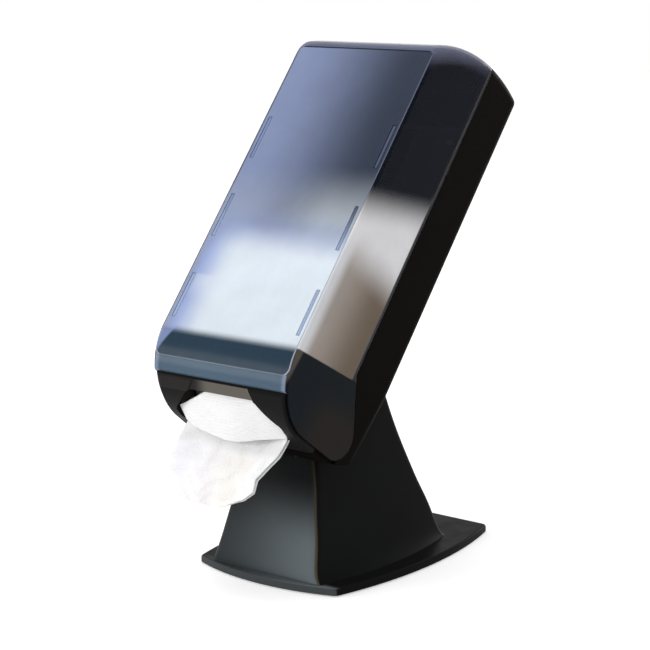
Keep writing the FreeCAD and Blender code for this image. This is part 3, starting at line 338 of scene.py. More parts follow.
zinc = moulded(
    "zinc_coat", ZINC, ZINC_CLOUD, grain_size=700, roughness=0.36, depth=0.00003, unevenness=0.1, metal=1
)
rubber = moulded(
    "black_rubber", RUBBER, RUBBER_CLOUD,
    grain_size=900, roughness=0.75, depth=0.0001, unevenness=0.05, gloss=0.3,
)
coat(zinc, "ballast_plate", "mount_plate", "pusher_weight")
coat(zinc, "base_screws", "mount_bolts", "mount_nuts", "magazine_screws", "weight_screws", "nose_screws")
coat(rubber, "rubber_feet")

# Housing. A matte black moulding with a leather-fine mould grain: the tray behind the side seam, which
# carries everything inside the box.
SHELL_COLOUR = (0.0042, 0.0032, 0.0030, 1)
SHELL_CLOUD = (0.0062, 0.0048, 0.0044, 1)

black_shell = moulded(
    "matte_black", SHELL_COLOUR, SHELL_CLOUD,
    grain_size=1300, roughness=0.46, depth=0.00009, unevenness=0.05, gloss=0.008,
)
coat(black_shell, "rear_housing")

# Nose. A matte black tub with the mouth closes the box below the cover. Fingers reach for the wipe at the
# scoop in its front, whose floor is paler than the rest and has a painted highlight along its right end, and
# the inside of the tub has painted warm light.
BOX_LEAN = 39.5
BOX_PLACE = (0, -0.18253, 0.2849)
CREASE_SLOPE = 20 / 109
NOSE_COLOUR = (0.0060, 0.0058, 0.0060, 1)
NOSE_CLOUD = (0.0085, 0.0080, 0.0080, 1)
NOSE_INNER_PAINTED_LIGHT = (0.16, 0.14, 0.125, 1)
NOSE_CENTRE = (0.071, -0.002)
INNER_RADIUS = (0.0646, 0.0652)
INNER_SIDE = (0.093, 0.094)
SCOOP_PALE = (0.125, 0.114, 0.098, 1)
SCOOP_TOP = (-0.0475, -0.0465)
SCOOP_DEPTH = (0.0285, 0.0295)
SCOOP_SLANT = 0.8
SCOOP_END = (0.0002, 0.0012)
PALE_WIDTH, PALE_LEFT = (-0.038, -0.016), 0.1
SCOOP_END_HIGHLIGHT = (0.20, 0.185, 0.15, 1)
HIGHLIGHT_START, HIGHLIGHT_END = (-0.0002, 0.0004), (0.001, 0.0018)

leaning = Matrix.Translation(BOX_PLACE) @ Matrix.Rotation(radians(-BOX_LEAN), 4, "X")

box_frame, _, result = node_group(
    "box_frame",
    (),
    (
        ("Across", "Float"), ("Side", "Float"), ("Depth", "Float"), ("Along", "Float"),
        ("Above Crease", "Float"), ("Place", "Vector"),
    ),
)
turned = node(
    box_frame, "Mapping", vector_type="POINT",
    Rotation=(radians(BOX_LEAN), 0, 0), Location=leaning.inverted().translation,
)
parts = node(box_frame, "SeparateXYZ")
wire(box_frame, node(box_frame, "TexCoord").outputs["Object"], turned.inputs["Vector"])
wire(box_frame, turned.outputs["Vector"], parts.inputs["Vector"], turned.outputs["Vector"], result["Place"])
across, depth, along = (parts.outputs[axis] for axis in "XYZ")
wire(box_frame, across, result["Across"], reckon(box_frame, "ABSOLUTE", across), result["Side"])
wire(box_frame, depth, result["Depth"], along, result["Along"])
wire(box_frame, reckon(box_frame, "MULTIPLY_ADD", depth, -CREASE_SLOPE, along), result["Above Crease"])


def box_axes(tree):
    """The box's own directions in a material: across, to either side, deep, along, and above the crease."""
    return node(tree, "Group", node_tree=box_frame).outputs


def reach_from(tree, place, centre):
    """Distance from a line that runs across the box at a depth and a height."""
    side_view = node(tree, "VectorMath", operation="MULTIPLY")
    side_view.inputs[1].default_value = (0, 1, 1)
    reach = node(tree, "VectorMath", operation="DISTANCE")
    reach.inputs[1].default_value = (0, *centre)
    wire(tree, place, side_view.inputs[0], side_view.outputs[0], reach.inputs[0])
    return reach.outputs["Value"]


nose_black = moulded(
    "nose_black", NOSE_COLOUR, NOSE_CLOUD,
    grain_size=1300, roughness=0.38, depth=0.00007, unevenness=0.05, gloss=0.05,
)
tree, shader, tint = skin_of(nose_black)
axes = box_axes(tree)
# the scoop's floor is paler than the rest of the nose, more so towards the right
scoop = all_of(tree, fade(tree, axes["Along"], SCOOP_TOP), fade(tree, axes["Depth"], SCOOP_DEPTH))
past_scoop = reckon(tree, "ADD", axes["Across"], reckon(tree, "MULTIPLY", axes["Along"], SCOOP_SLANT))
pale_scoop = all_of(
    tree, scoop, fade(tree, past_scoop, SCOOP_END),
    ramp(tree, axes["Across"], PALE_WIDTH, start=PALE_LEFT),
)
# painted highlight along the scoop's slanted right end
edge = all_of(tree, scoop, ramp(tree, past_scoop, HIGHLIGHT_START), fade(tree, past_scoop, HIGHLIGHT_END))
# painted warm light on the inside of the tub
painted_inner_light = all_of(
    tree, fade(tree, reach_from(tree, axes["Place"], NOSE_CENTRE), INNER_RADIUS),
    fade(tree, axes["Side"], INNER_SIDE),
)
tint = layered(tree, tint, (pale_scoop, SCOOP_PALE), (edge, SCOOP_END_HIGHLIGHT), (painted_inner_light, NOSE_INNER_PAINTED_LIGHT))
wire(tree, tint, shader.inputs["Base Color"])
coat(nose_black, "dispensing_nose")

# Cover. A smoked clear shell with a domed top and a rolled lip, thin-walled and glossy: white wipes behind it
# show through, the empty upper half reads nearly black, and below the crease the black nose is behind it.
# Much of its look is painted light in its colour: the glow of the wipes behind it, pale at the front edge and
# warmer and darker lower down and towards the rear, highlights on the dome's edge and along the rear rim, and
# reflections on the lip, the front bevel and the cheek, with a highlight at the lip's right corner.
SMEAR_STRETCH = (700, 700, 30)
MARKS_SPREAD = (0.3, 0.7)
CLOUD_SPREAD, CLOUD_DIMS, CLOUD_LIGHTENS = (0.32, 0.68), 0.97, 1.03
SMOKE = (0.0045, 0.0065, 0.0140, 1)
DOME_HIGHLIGHT = (0.145, 0.158, 0.245, 1)
DOME_CENTRE = (0.132, 0.24)
DOME_RADIUS = (0.171, 0.194)
DOME_FOOT = (0.3, 0.39)
DOME_DEPTH, DOME_REAR = (0.045, 0.12), 0.3
WIPES_LIT = (0.87, 0.86, 0.885, 1)
GLOW_TILT = 0.49
GLOW_TOP = (0.15, 0.204)
LOW_GLOW_FRONT = (0.41, 0.36, 0.325, 1)
LOW_SHADE_REAR = (0.185, 0.142, 0.105, 1)
LOW_TOP = (0.1, 0.158)
LOW_DEPTH = (0.012, 0.09)
FRONT_EDGE_LIGHT = (0.76, 0.77, 0.80, 1)
FRONT_EDGE_DEPTH = (0.004, 0.021)
LEFT_EDGE_DARK = (0.020, 0.024, 0.050, 1)
LEFT_EDGE_WIDTH = (-0.095, -0.0942)
LEFT_EDGE_DEPTH = (0.004, 0.007)
REAR_RIM_HIGHLIGHT = (0.11, 0.11, 0.12, 1)
REAR_RIM_HIGHLIGHT_DEPTH = (0.098, 0.0985)
RIM = (0.040, 0.038, 0.040, 1)
RIM_DEPTH = (0.0992, 0.1)
CREASE_EDGE = (-0.0015, 0.0005)
CHEEK = (0.0030, 0.0058, 0.0095, 1)
CHEEK_WARM_REFLECTION = (0.014, 0.0105, 0.0095, 1)
WARM_DEPTH = (0.045, 0.095)
WARM_TOP = (-0.055, -0.015)
BEVEL_REFLECTION = (0.085, 0.075, 0.062, 1)
BEVEL_REFLECTION_DEPTH = (0.006, 0.011)
LIP_REFLECTION = (0.078, 0.122, 0.172, 1)
LIP_TOP = (-0.032, -0.03)
LIP_WIDTH = (0.0915, 0.0935)
LIP_DEPTH = (0.017, 0.019)
LIP_CORNER_HIGHLIGHT = (0.19, 0.235, 0.34, 1)
LIP_CORNER_SIDE = (0.085, 0.0905)
SMOKE_CLEARS, SMOKE_BY_WIPES, SMOKE_ABOVE, SMOKE_BY_NOSE = (0.18, 0.25), 0.84, 0.70, 0.96

smears, given, result = node_group(
    "wiped_clear_plastic",
    (
        ("Place", "Vector"), ("Colour", "Color", (0.5, 0.5, 0.5, 1)), ("Roughness", "Float", 0.2),
        ("Unevenness", "Float", 0.05),
    ),
    (("Colour", "Color"), ("Roughness", "Float"), ("Height", "Float")),
)
haze = node(smears, "TexNoise", Scale=26, Detail=5, Roughness=0.6)
stretched = node(smears, "Mapping", vector_type="POINT", Scale=SMEAR_STRETCH)
lines = node(smears, "TexNoise", Scale=1, Detail=3)
shaded = node(smears, "VectorMath", operation="SCALE")
shade = ramp(smears, haze.outputs["Fac"], CLOUD_SPREAD, CLOUD_DIMS, CLOUD_LIGHTENS)
uneven = ramp(smears, lines.outputs["Fac"], MARKS_SPREAD, -1, 1)
dull = reckon(smears, "ADD", given["Roughness"], all_of(smears, uneven, given["Unevenness"]))
wire(smears, given["Place"], haze.inputs["Vector"], given["Place"], stretched.inputs["Vector"])
wire(smears, stretched.outputs["Vector"], lines.inputs["Vector"], given["Colour"], shaded.inputs[0])
wire(smears, shade, shaded.inputs["Scale"], shaded.outputs["Vector"], result["Colour"])
wire(smears, dull, result["Roughness"], lines.outputs["Fac"], result["Height"])


def wiped(tree, shader, place, colour, roughness, unevenness, depth, gloss):
    """Finishes a clear plastic: faint wiping marks in its colour, its roughness and a very shallow bump."""
    marks = node(tree, "Group", node_tree=smears, Roughness=roughness, Unevenness=unevenness)
    wire(tree, place, marks.inputs["Place"], colour, marks.inputs["Colour"])
    surfaced(tree, shader, marks, depth)
    adjust(shader, Specular_IOR_Level=gloss)


smoked, tree, shader = plain_material("smoked_clear")
axes = box_axes(tree)
across, side, depth, along = (axes[name] for name in ("Across", "Side", "Depth", "Along"))
above_crease = axes["Above Crease"]
# painted highlight in a band along the dome's edge, fading towards the rear
dome_highlight = all_of(
    tree, ramp(tree, reach_from(tree, axes["Place"], DOME_CENTRE), DOME_RADIUS),
    ramp(tree, along, DOME_FOOT), fade(tree, depth, DOME_DEPTH, end=DOME_REAR),
)
# painted glow of the white wipes behind the cover, up to a line that slants back
glow = fade(tree, reckon(tree, "SUBTRACT", along, reckon(tree, "MULTIPLY", depth, GLOW_TILT)), GLOW_TOP)
# lower down the painted glow turns warm brown, with painted shade towards the rear and painted light at the
# front edge
low_glow_and_shade = layered(
    tree, LOW_GLOW_FRONT,
    (ramp(tree, depth, LOW_DEPTH), LOW_SHADE_REAR), (fade(tree, depth, FRONT_EDGE_DEPTH), FRONT_EDGE_LIGHT),
)
left_edge = all_of(tree, fade(tree, across, LEFT_EDGE_WIDTH), fade(tree, depth, LEFT_EDGE_DEPTH))
below = fade(tree, above_crease, CREASE_EDGE)
# below the crease: a painted warm reflection low and towards the rear of the cheek, and a painted reflection
# on the front bevel
warm_reflection = all_of(tree, ramp(tree, depth, WARM_DEPTH), fade(tree, above_crease, WARM_TOP))
cheek = layered(tree, CHEEK, (warm_reflection, CHEEK_WARM_REFLECTION), (fade(tree, depth, BEVEL_REFLECTION_DEPTH), BEVEL_REFLECTION))
# painted reflection on the rolled lip, with a painted highlight at its right corner
lip = all_of(
    tree, fade(tree, above_crease, LIP_TOP), fade(tree, side, LIP_WIDTH), fade(tree, depth, LIP_DEPTH)
)
lip_reflection_tint = blend_colour(tree, ramp(tree, side, LIP_CORNER_SIDE), LIP_REFLECTION, LIP_CORNER_HIGHLIGHT)
tint = layered(
    tree, SMOKE,
    (dome_highlight, DOME_HIGHLIGHT),
    (glow, WIPES_LIT),
    (fade(tree, along, LOW_TOP), low_glow_and_shade),
    (left_edge, LEFT_EDGE_DARK),
    # painted highlight along the rear rim, then the dark seam behind it
    (ramp(tree, depth, REAR_RIM_HIGHLIGHT_DEPTH), REAR_RIM_HIGHLIGHT),
    (ramp(tree, depth, RIM_DEPTH), RIM),
    (below, cheek),
    (lip, lip_reflection_tint),
)
wiped(tree, shader, axes["Place"], tint, roughness=0.14, unevenness=0.05, depth=0.000004, gloss=0.05)
upper = ramp(tree, along, SMOKE_CLEARS, SMOKE_BY_WIPES, SMOKE_ABOVE)
lower = reckon(tree, "MULTIPLY", below, SMOKE_BY_NOSE)
wire(tree, reckon(tree, "MAXIMUM", upper, lower), shader.inputs["Alpha"])
coat(smoked, "front_cover")

# Display pane. A flush clear panel that closes the cover's front; its back is frosted. Its colour holds
# painted
# light: a reflection, pale blue on the left and dark on the right, the glow of the white wipes behind it,
# which darkens above them, and a highlight along its edges. Six clips of the same clear plastic hold it in
# its slots, painted in the same way.
PANE_LEFT = (0.235, 0.285, 0.455, 1)
PANE_RIGHT = (0.034, 0.044, 0.072, 1)
PANE_WIDTH = (-0.09, 0.08)
PANE_LIT = (0.84, 0.92, 1.0, 1)
HAZE_TOP, HAZE_STRENGTH = (0.14, 0.225), 0.42
HAZE_WIDTH, HAZE_LEFT, HAZE_RIGHT = (-0.02, 0.065), 0.42, 1.3
PANE_LEFT_LOW = (0.33, 0.42, 0.76, 1)
LEFT_GLOW_TOP = (0.09, 0.17)
LEFT_GLOW_WIDTH, LEFT_GLOW_EDGE = (-0.094, -0.08), 0.2
WIPES_TOP = (0.1, 0.144)
WIPES_WIDTH = (-0.094, -0.04)
FOLD_TOP, FOLD_LOW = (0.067, 0.072), (0.035, 0.062)
FOLD_WIDTH, FOLD_STRENGTH = (-0.07, 0.01), 0.4
FOLD_LEFT = (-0.089, -0.079)
PANE_LOW = (0.021, 0.044, 0.070, 1)
PANE_LOW_LEFT = (0.20, 0.25, 0.44, 1)
NOSE_LINE = (-0.006, 0.006)
NOSE_SLANT = 0.53
NOSE_END = (-0.080, -0.0755)
PANE_EDGE_HIGHLIGHT = (0.13, 0.15, 0.20, 1)
PANE_EDGE_HIGHLIGHT_LOW = (0.40, 0.46, 0.56, 1)
EDGE_DIMS = (0.13, 0.21)
PANE_SIDE, PANE_FOOT = 0.086, 0.022
EDGE_RADIUS = (0.0074, 0.0082)
EDGE_SIDE, EDGE_FOOT_STRENGTH = (0, 0.006), 0.35
PANE_GAP_SHADE = (0.008, 0.010, 0.018, 1)
PANE_GAP_FOOT = (0.3762, 0.3772)
PANE_CLOSES, PANE_BY_WIPES, PANE_ABOVE, PANE_BY_NOSE = (0.12, 0.22), 0.7, 0.88, 0.9
CLIP_LEFT = (0.22, 0.28, 0.46, 1)
CLIP_RIGHT = (0.080, 0.098, 0.17, 1)
CLIPS_WIDTH = (-0.1, 0.08)
CLIP_LOW = (0.36, 0.45, 0.64, 1)
CLIP_LOW_TOP = (0.1, 0.18)

frosted, tree, shader = plain_material("frosted_panel")
axes = box_axes(tree)
across, side, along, above_crease = (axes[name] for name in ("Across", "Side", "Along", "Above Crease"))
# painted light: the frosted back glows pale where the wipes stand behind it, fading upwards and stronger on
# the right
haze = all_of(
    tree, fade(tree, along, HAZE_TOP, start=HAZE_STRENGTH),
    ramp(tree, across, HAZE_WIDTH, HAZE_LEFT, HAZE_RIGHT),
)
# more painted glow: lilac low on the left, the wipes behind the left half, and a pale band low on the left
left_glow = all_of(
    tree, fade(tree, along, LEFT_GLOW_TOP), ramp(tree, across, LEFT_GLOW_WIDTH, start=LEFT_GLOW_EDGE)
)
wipes_glow = all_of(tree, fade(tree, along, WIPES_TOP), ramp(tree, across, WIPES_WIDTH))
fold_glow = all_of(
    tree, fade(tree, along, FOLD_TOP), ramp(tree, along, FOLD_LOW),
    fade(tree, across, FOLD_WIDTH, start=FOLD_STRENGTH), ramp(tree, across, FOLD_LEFT),
)
# below the crease the black nose is behind the pane; far to the left the pane keeps a paler painted glow
nose_behind = fade(tree, above_crease, NOSE_LINE)
past_nose = reckon(tree, "SUBTRACT", across, reckon(tree, "MULTIPLY", above_crease, NOSE_SLANT))
low_tint = blend_colour(tree, fade(tree, past_nose, NOSE_END), PANE_LOW, PANE_LOW_LEFT)
# painted highlight along the pane's side edges and, fainter, its bottom edge, round its lower corners
past_side = reckon(tree, "MAXIMUM", reckon(tree, "SUBTRACT", side, PANE_SIDE), 0)
past_foot = reckon(tree, "MAXIMUM", reckon(tree, "SUBTRACT", -PANE_FOOT, along), 0)
squares = [reckon(tree, "POWER", past, 2) for past in (past_side, past_foot)]
past_corner = reckon(tree, "SQRT", reckon(tree, "ADD", *squares))
edge = all_of(
    tree, ramp(tree, past_corner, EDGE_RADIUS), ramp(tree, past_side, EDGE_SIDE, start=EDGE_FOOT_STRENGTH)
)
# the base is a painted reflection, pale blue on the left and dark on the right
tint = layered(
    tree, PANE_LEFT,
    (ramp(tree, across, PANE_WIDTH), PANE_RIGHT),
    (haze, PANE_LIT),
    (left_glow, PANE_LEFT_LOW),
    (wipes_glow, PANE_LIT),
    (fold_glow, PANE_LIT),
    (nose_behind, low_tint),
    (edge, blend_colour(tree, ramp(tree, along, EDGE_DIMS), PANE_EDGE_HIGHLIGHT_LOW, PANE_EDGE_HIGHLIGHT)),
    (ramp(tree, along, PANE_GAP_FOOT), PANE_GAP_SHADE),
)
wiped(tree, shader, axes["Place"], tint, roughness=0.22, unevenness=0.06, depth=0.000006, gloss=0.06)
upper = ramp(tree, along, PANE_CLOSES, PANE_BY_WIPES, PANE_ABOVE)
lower = reckon(tree, "MULTIPLY", nose_behind, PANE_BY_NOSE)
wire(tree, reckon(tree, "MAXIMUM", upper, lower), shader.inputs["Alpha"])
coat(frosted, "display_pane")

clip_clear, tree, shader = plain_material("clip_clear")
axes = box_axes(tree)
# painted like the pane: a reflection pale on the left and dark on the right, and painted glow lower down
tint = layered(
    tree, CLIP_LEFT,
    (ramp(tree, axes["Across"], CLIPS_WIDTH), CLIP_RIGHT),
    (fade(tree, axes["Along"], CLIP_LOW_TOP), CLIP_LOW),
)
wiped(tree, shader, axes["Place"], tint, roughness=0.25, unevenness=0.05, depth=0.000004, gloss=0.1)
adjust(shader, Alpha=0.85)
coat(clip_clear, "pane_clips")

# Hinge. Two plain bushes of pale bearing plastic sit in the cover's ears and turn on polished steel pins that
# are pressed into the housing. The pusher's rod and bushes are made of the same two.
CREAM = (0.72, 0.70, 0.62, 1)
CREAM_CLOUD = (0.66, 0.64, 0.56, 1)
STEEL = (0.60, 0.60, 0.59, 1)
STEEL_WORN = (0.492, 0.492, 0.4838, 1)
DRAWN_STRETCH = (2500, 60, 2500)

bearing = moulded(
    "bearing_plastic_cream", CREAM, CREAM_CLOUD, grain_size=900, roughness=0.45, depth=0.00003
)
coat(bearing, "hinge_bush_left", "hinge_bush_right", "pusher_bushes")

steel, tree, shader = plain_material("polished_steel")
drawn = node(tree, "Mapping", vector_type="POINT", Scale=DRAWN_STRETCH)
lines = node(tree, "TexNoise", Scale=1, Detail=3)
dull = node(tree, "MapRange", To_Min=0.154, To_Max=0.308)
bump = node(tree, "Bump", Strength=0.6, Distance=0.00002)
wire(tree, node(tree, "TexCoord").outputs["Object"], drawn.inputs["Vector"])
wire(tree, drawn.outputs["Vector"], lines.inputs["Vector"])
wire(tree, lines.outputs["Fac"], dull.inputs["Value"], dull.outputs["Result"], shader.inputs["Roughness"])
wire(tree, lines.outputs["Fac"], bump.inputs["Height"], bump.outputs["Normal"], shader.inputs["Normal"])
wire(tree, blend_colour(tree, lines.outputs["Fac"], STEEL, STEEL_WORN), shader.inputs["Base Color"])
adjust(shader, Metallic=1)
coat(steel, "hinge_pin_left", "hinge_pin_right", "guide_rod")

# Magazine. A grey back plate and two corner rails guide the wipes, and the black pusher with its steel weight
# slides down a rod between two brackets behind the plate.
MAGAZINE_GREY = (0.11, 0.115, 0.12, 1)
MAGAZINE_CLOUD = (0.13, 0.135, 0.14, 1)
FITTINGS_BLACK = (0.012, 0.012, 0.013, 1)
FITTINGS_CLOUD = (0.016, 0.016, 0.017, 1)

magazine_grey = moulded(
    "magazine_grey", MAGAZINE_GREY, MAGAZINE_CLOUD, grain_size=1100, roughness=0.45, depth=0.00005
)
fittings_black = moulded(
    "fittings_black", FITTINGS_BLACK, FITTINGS_CLOUD,
    grain_size=1700, roughness=0.42, depth=0.00004, gloss=0.12,
)
coat(magazine_grey, "magazine_back", "stack_guide_left", "stack_guide_right")
coat(fittings_black, "pusher", "rod_bracket_top", "rod_bracket_bottom")

# Stack of wipes. Some sixty folded white wipes lie one on another, squared by the rails, with folds and cut
# edges in turn at the front, so its faces show fine layers that don't quite line up. Its lower corner at the
# left of the mouth is drawn away.
HALF_LAYER = 0.00105
STACK_LOW, STACK_HIGH = -0.0665, 0.190
STACK_MIDDLE = 0.066
FOLD_IN = 0.0007
SHUFFLE = 0.0004
CORNER_PULL = (-0.044, 0.052, -0.036)
CORNER_WAY = (-0.42, -0.62, -0.66)
PAPER = (0.98, 0.98, 0.98, 1)
PAPER_SHADE = (0.94, 0.94, 0.95, 1)
SHADE_SPREAD = (0.35, 0.7)
PAPER_COOL = (0.92, 0.91, 0.975, 1)
PAPER_WARM = (0.985, 0.945, 0.885, 1)
WARM_WIDTH = (-0.06, 0.03)
HUNG_TOP, HUNG_STRENGTH = (-0.105, -0.085), 0.8
HUNG_WIDTH = (0.02, 0.05)
PAPER_TUCK_SHADE = (0.78, 0.775, 0.785, 1)
TUCK_SHADE_LOW, TUCK_SHADE_STRENGTH = (-0.101, -0.088), 0.75
TUCK_SHADE_DEPTH = (0.0745, 0.078)
PAPER_DOT = (0.88, 0.87, 0.87, 1)
DOT_SPREAD, DOT_STRENGTH = (0.2, 0.45), 0.55
FIBRE_HEIGHT = 0.35
PAPER_SOFTNESS = (0.002, 0.002, 0.002)


def whole(form):
    """All that a bmesh holds, for the operators that ask for it."""
    return form.verts[:] + form.edges[:] + form.faces[:]


random.seed(7)
stack_form = bmesh.new()
stack_form.from_mesh(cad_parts["wipe_stack"].data)
bmesh.ops.transform(stack_form, matrix=leaning.inverted(), verts=stack_form.verts)
bmesh.ops.remove_doubles(stack_form, verts=stack_form.verts, dist=0.00001)
bmesh.ops.dissolve_limit(
    stack_form, angle_limit=radians(1), verts=stack_form.verts, edges=stack_form.edges
)
levels = int((STACK_HIGH - STACK_LOW) / HALF_LAYER)
for index in range(1, levels):
    height = STACK_LOW + index * HALF_LAYER
    bmesh.ops.bisect_plane(stack_form, geom=whole(stack_form), plane_co=(0, 0, height), plane_no=(0, 0, 1))
shuffles = [
    Vector((random.uniform(-SHUFFLE, SHUFFLE), random.uniform(-SHUFFLE, SHUFFLE), 0)) for _ in range(levels)
]
for vert in stack_form.verts:
    index = round((vert.co.z - STACK_LOW) / HALF_LAYER)
    if 0 < index < levels:
        step = FOLD_IN * (index % 2)
        vert.co.x += step if vert.co.x < 0 else -step
        vert.co.y += step if vert.co.y < STACK_MIDDLE else -step
        vert.co += shuffles[index // 2]
cut = bmesh.ops.bisect_plane(
    stack_form, geom=whole(stack_form), plane_co=CORNER_PULL, plane_no=CORNER_WAY, clear_outer=True
)
bmesh.ops.holes_fill(
    stack_form, edges=[part for part in cut["geom_cut"] if isinstance(part, bmesh.types.BMEdge)]
)
bmesh.ops.transform(stack_form, matrix=leaning, verts=stack_form.verts)
stack = piece("folded_wipes", stack_form)

# soft white nonwoven: a fibre cloud, embossed dots, the tints of the hanging end, and a painted shade under
# the fold
wipe_paper, tree, shader = plain_material("wipe_nonwoven")
axes = box_axes(tree)
fibres = node(tree, "TexNoise", Scale=420, Detail=6, Roughness=0.7)
stains = node(tree, "TexNoise", Scale=22, Detail=3)
dots = node(tree, "TexVoronoi", Scale=430, Randomness=0.3)
pressed = node(tree, "MapRange", From_Min=0.1, From_Max=0.42)
bump = node(tree, "Bump", Strength=1, Distance=0.0004)
for pattern in (fibres, stains, dots):
    wire(tree, axes["Place"], pattern.inputs["Vector"])
wire(tree, dots.outputs["Distance"], pressed.inputs["Value"], bump.outputs["Normal"], shader.inputs["Normal"])
relief = reckon(tree, "MULTIPLY_ADD", fibres.outputs["Fac"], FIBRE_HEIGHT, pressed.outputs["Result"])
wire(tree, relief, bump.inputs["Height"])
hung_tint = blend_colour(tree, ramp(tree, axes["Across"], WARM_WIDTH), PAPER_COOL, PAPER_WARM)
hung = all_of(
    tree, fade(tree, axes["Along"], HUNG_TOP, start=HUNG_STRENGTH), fade(tree, axes["Across"], HUNG_WIDTH)
)
# painted shade on the tab just under the fold, where it tucks back behind the belly
tuck_shade = all_of(
    tree, ramp(tree, axes["Along"], TUCK_SHADE_LOW, end=TUCK_SHADE_STRENGTH), ramp(tree, axes["Depth"], TUCK_SHADE_DEPTH)
)
tint = layered(
    tree, PAPER,
    (ramp(tree, stains.outputs["Fac"], SHADE_SPREAD), PAPER_SHADE),
    (hung, hung_tint),
    (tuck_shade, PAPER_TUCK_SHADE),
    (fade(tree, dots.outputs["Distance"], DOT_SPREAD, start=DOT_STRENGTH), PAPER_DOT),
)
wire(tree, tint, shader.inputs["Base Color"])
adjust(
    shader, Roughness=0.9, Specular_IOR_Level=0.2,
    Subsurface_Weight=0.15, Subsurface_Radius=PAPER_SOFTNESS, Subsurface_Scale=1,
)
stack.data.materials.append(wipe_paper)
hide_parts("wipe_stack")
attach(stack, "frame")

# Hanging wipe. The next wipe fills the mouth, sags below it in a soft belly, tucks up behind that fold, and
# its end hangs down and turns back up behind itself. One corner is creased, and its sides are pulled in.
# Its outlines are in millimetres: across and deep at the mouth, across and along the box below it.
WIPE_WALL = 0.0005
MILLIMETRES = 1000
FRONT_EDGE = ((-73.5, 55), (-50, 43), (-26, 31.5), (10, 31), (47, 31.5), (60, 42), (73, 55))
BELLY_FOLD = (
    (-71.5, -73), (-60, -78), (-43, -82), (-26, -85), (-8, -87.3), (8, -87), (22, -84), (38, -79.5),
    (54, -76), (72, -72),
)
LEFT_EDGE = (
    (-70, -66), (-72, -80), (-74.5, -92), (-75.3, -104), (-76, -118), (-74.5, -127), (-66, -136), (-62, -141),
    (-56, -149), (-44, -157),
)
FOOT_EDGE = ((-44, -157), (-26, -159), (-5, -158.5), (13, -158.5), (28, -154.5))
RIGHT_EDGE = (
    (71, -66), (71, -76), (66, -93), (56.5, -108), (49.5, -121), (51, -129), (52.5, -136), (44, -146),
    (28, -154.5),
)
NOSE_INSIDE = 63.9
MOUTH_PLAY = 0.9
BELLY_SWELL, BELLY_WAY = 3.5, (0, -0.55, -0.83)
FOLD_DEPTH, FOLD_PLAY = 73, 0.8
TAB_TOP, TAB_LEAN = -66.5, 0.12
TUCK, TUCK_ROUNDING = 13, 1.2
TUCK_SHORTNESS, TUCK_EASING = 1.7, 1.3
CREASE_SHARE = 0.79
WAVES, WAVE_GROWTH = ((1.5, 8.5, 2.4), (0.7, 21, -4)), 0.8
PINCH, PINCH_WIDTH = 3.2, 0.014
PINCH_SHARE, PINCH_SLANT, PINCH_SHORTNESS = 0.74, 0.25, 6
BACK_PLAY, BACK_SWELL, BACK_SHORTNESS = 1.4, 2.4, 1.05
BACK_ASKEW = 1.6
BELLY_ENDS, FOLD_ENDS, TAB_ENDS, FOOT_ENDS = 0.26, 0.34, 0.66, 0.69
FOLD_SAG, FOOT_SAG = (0, 1.2, -0.5), 0.7
CRUMPLES = ((0.045, 1.1), (0.13, 0.35))
CRUMPLE_TOP, CRUMPLE_GROWTH = -72, 20

nose_depth, nose_height = (MILLIMETRES * size for size in NOSE_CENTRE)


def along_line(points, share):
    """The point at that share of a polyline's length."""
    spans = [(Vector(end) - Vector(start)).length for start, end in zip(points, points[1:])]
    left = share * sum(spans)
    for start, end, span in zip(points, points[1:], spans):
        if left <= span:
            return Vector(start).lerp(Vector(end), left / span)
        left -= span
    return Vector(points[-1])


def stack_foot(depth):
    """Height of the stack's rounded underside at that depth."""
    reach = min(depth - nose_depth, 0)
    return nose_height - (NOSE_INSIDE ** 2 - reach ** 2) ** 0.5 - MOUTH_PLAY


def belly(across, share):
    """The part in the mouth, from its front edge to the fold."""
    edge, fold = along_line(FRONT_EDGE, across), along_line(BELLY_FOLD, across)
    start = Vector((edge.x, edge.y, stack_foot(edge.y)))
    end = Vector((fold.x, FOLD_DEPTH, fold.y))
    swell = sin(share * pi) * BELLY_SWELL * (1 - (2 * across - 1) ** 4)
    return start.lerp(end, share) + Vector(BELLY_WAY) * swell


def tab(across, down, layer):
    """The hanging end, by its shares across and down. layer is 0 for its front and 1 for its back."""
    down = max(down, 0)
    left, right = along_line(LEFT_EDGE, down), along_line(RIGHT_EDGE, down)
    top = Vector(LEFT_EDGE[0]).lerp(Vector(RIGHT_EDGE[0]), across)
    low = Vector(LEFT_EDGE[-1]).lerp(Vector(RIGHT_EDGE[-1]), across)
    foot = along_line(FOOT_EDGE, across)
    flat = left.lerp(right, across) + top.lerp(foot, down) - top.lerp(low, down)
    inwards = across / CREASE_SHARE if across < CREASE_SHARE else (1 - across) / (1 - CREASE_SHARE)
    tuck = TUCK * inwards ** TUCK_ROUNDING * max(0, 1 - down * TUCK_SHORTNESS) ** TUCK_EASING
    wave = sum(size * sin(across * turns + down * slant) for size, turns, slant in WAVES)
    depth = FOLD_DEPTH + FOLD_PLAY + TAB_LEAN * (TAB_TOP - flat.y) + tuck + wave * down ** WAVE_GROWTH
    past_pinch = (across - PINCH_SHARE + down * PINCH_SLANT) / PINCH_WIDTH
    depth += PINCH * exp(-(past_pinch ** 2)) * max(0, 1 - down * PINCH_SHORTNESS)
    behind = layer * (BACK_PLAY + BACK_SWELL * sin(pi * min(down * BACK_SHORTNESS, 1)))
    return Vector((flat.x + layer * BACK_ASKEW * across * (1 - down), depth + behind, flat.y))


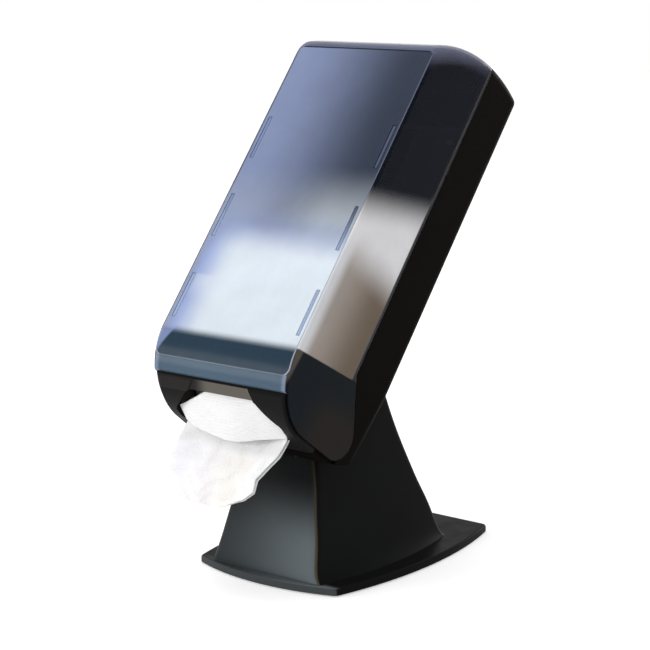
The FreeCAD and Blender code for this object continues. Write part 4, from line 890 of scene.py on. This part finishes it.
def draped(across, run):
    """One smooth path of the sheet: belly, fold, tuck, front of the tab, its foot, and back up behind."""
    if run < BELLY_ENDS:
        return belly(across, run / BELLY_ENDS)
    if run < FOLD_ENDS:
        turn = (run - BELLY_ENDS) / (FOLD_ENDS - BELLY_ENDS)
        start, end = belly(across, 1), tab(across, 0, 0)
        low = start + Vector(FOLD_SAG)
        return start.lerp(low, turn).lerp(low.lerp(end, turn), turn)
    if run < TAB_ENDS:
        return tab(across, (run - FOLD_ENDS) / (TAB_ENDS - FOLD_ENDS), 0)
    if run < FOOT_ENDS:
        turn = (run - TAB_ENDS) / (FOOT_ENDS - TAB_ENDS) * pi
        front, back = tab(across, 1, 0), tab(across, 1, 1)
        return front.lerp(back, (1 - cos(turn)) / 2) - Vector((0, 0, sin(turn) * FOOT_SAG))
    return tab(across, 1 - (run - FOOT_ENDS) / (1 - FOOT_ENDS), 1)


# a flat grid one unit wide and long, whose points then move to their shares across and along the sheet
sheet_form = bmesh.new()
bmesh.ops.create_grid(sheet_form, x_segments=88, y_segments=150, size=0.5)
for vert in sheet_form.verts:
    place = draped(*(min(max(share + 0.5, 0), 1) for share in vert.co.xy))
    crumple = sum(noise.noise(place * fineness) * size for fineness, size in CRUMPLES)
    crumple *= min(1, max(0, (CRUMPLE_TOP - place.z) / CRUMPLE_GROWTH))
    vert.co = (place + Vector((0, crumple, 0))) / MILLIMETRES
bmesh.ops.recalc_face_normals(sheet_form, faces=sheet_form.faces)
bmesh.ops.transform(sheet_form, matrix=leaning, verts=sheet_form.verts)
hanging = piece("drawn_wipe", sheet_form)
hanging.data.shade_smooth()
hanging.data.materials.append(wipe_paper)
wall = hanging.modifiers.new("thickness", "SOLIDIFY")
wall.thickness = WIPE_WALL
wall.offset = 0
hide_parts("hanging_wipe")
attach(hanging, "frame")

# Latch. A black push button with a hook stands on a coil spring of steel wire in its guide, and the hook
# holds the strike inside the cover's top.
SPRING_FOOT = Vector((0, 0.138, 0.393))
SPRING_LENGTH = 0.014
SPRING_RADIUS = 0.0044
SPRING_WIRE = 0.00055
SPRING_TURNS, TURN_STEPS = 6, 24

steps = SPRING_TURNS * TURN_STEPS
coil_form = bmesh.new()
bmesh.ops.create_circle(coil_form, segments=10, radius=SPRING_WIRE, cap_ends=True)
bmesh.ops.rotate(coil_form, verts=coil_form.verts, cent=(0, 0, 0), matrix=Matrix.Rotation(pi / 2, 3, "X"))
bmesh.ops.translate(
    coil_form, verts=coil_form.verts, vec=SPRING_FOOT + Vector((SPRING_RADIUS, 0, SPRING_WIRE))
)
bmesh.ops.spin(
    coil_form, geom=whole(coil_form), cent=SPRING_FOOT, axis=(0, 0, 1),
    dvec=(0, 0, (SPRING_LENGTH - 2 * SPRING_WIRE) / steps), angle=2 * pi * SPRING_TURNS, steps=steps,
    use_merge=False, use_duplicate=False,
)
bmesh.ops.recalc_face_normals(coil_form, faces=coil_form.faces)
bmesh.ops.transform(coil_form, matrix=leaning, verts=coil_form.verts)
coil = piece("latch_coil", coil_form)
coil.data.shade_smooth()
coil.data.materials.append(steel)
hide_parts("latch_spring")
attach(coil, "frame")
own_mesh(coil)
coat(fittings_black, "latch_button", "latch_guide", "latch_strike")
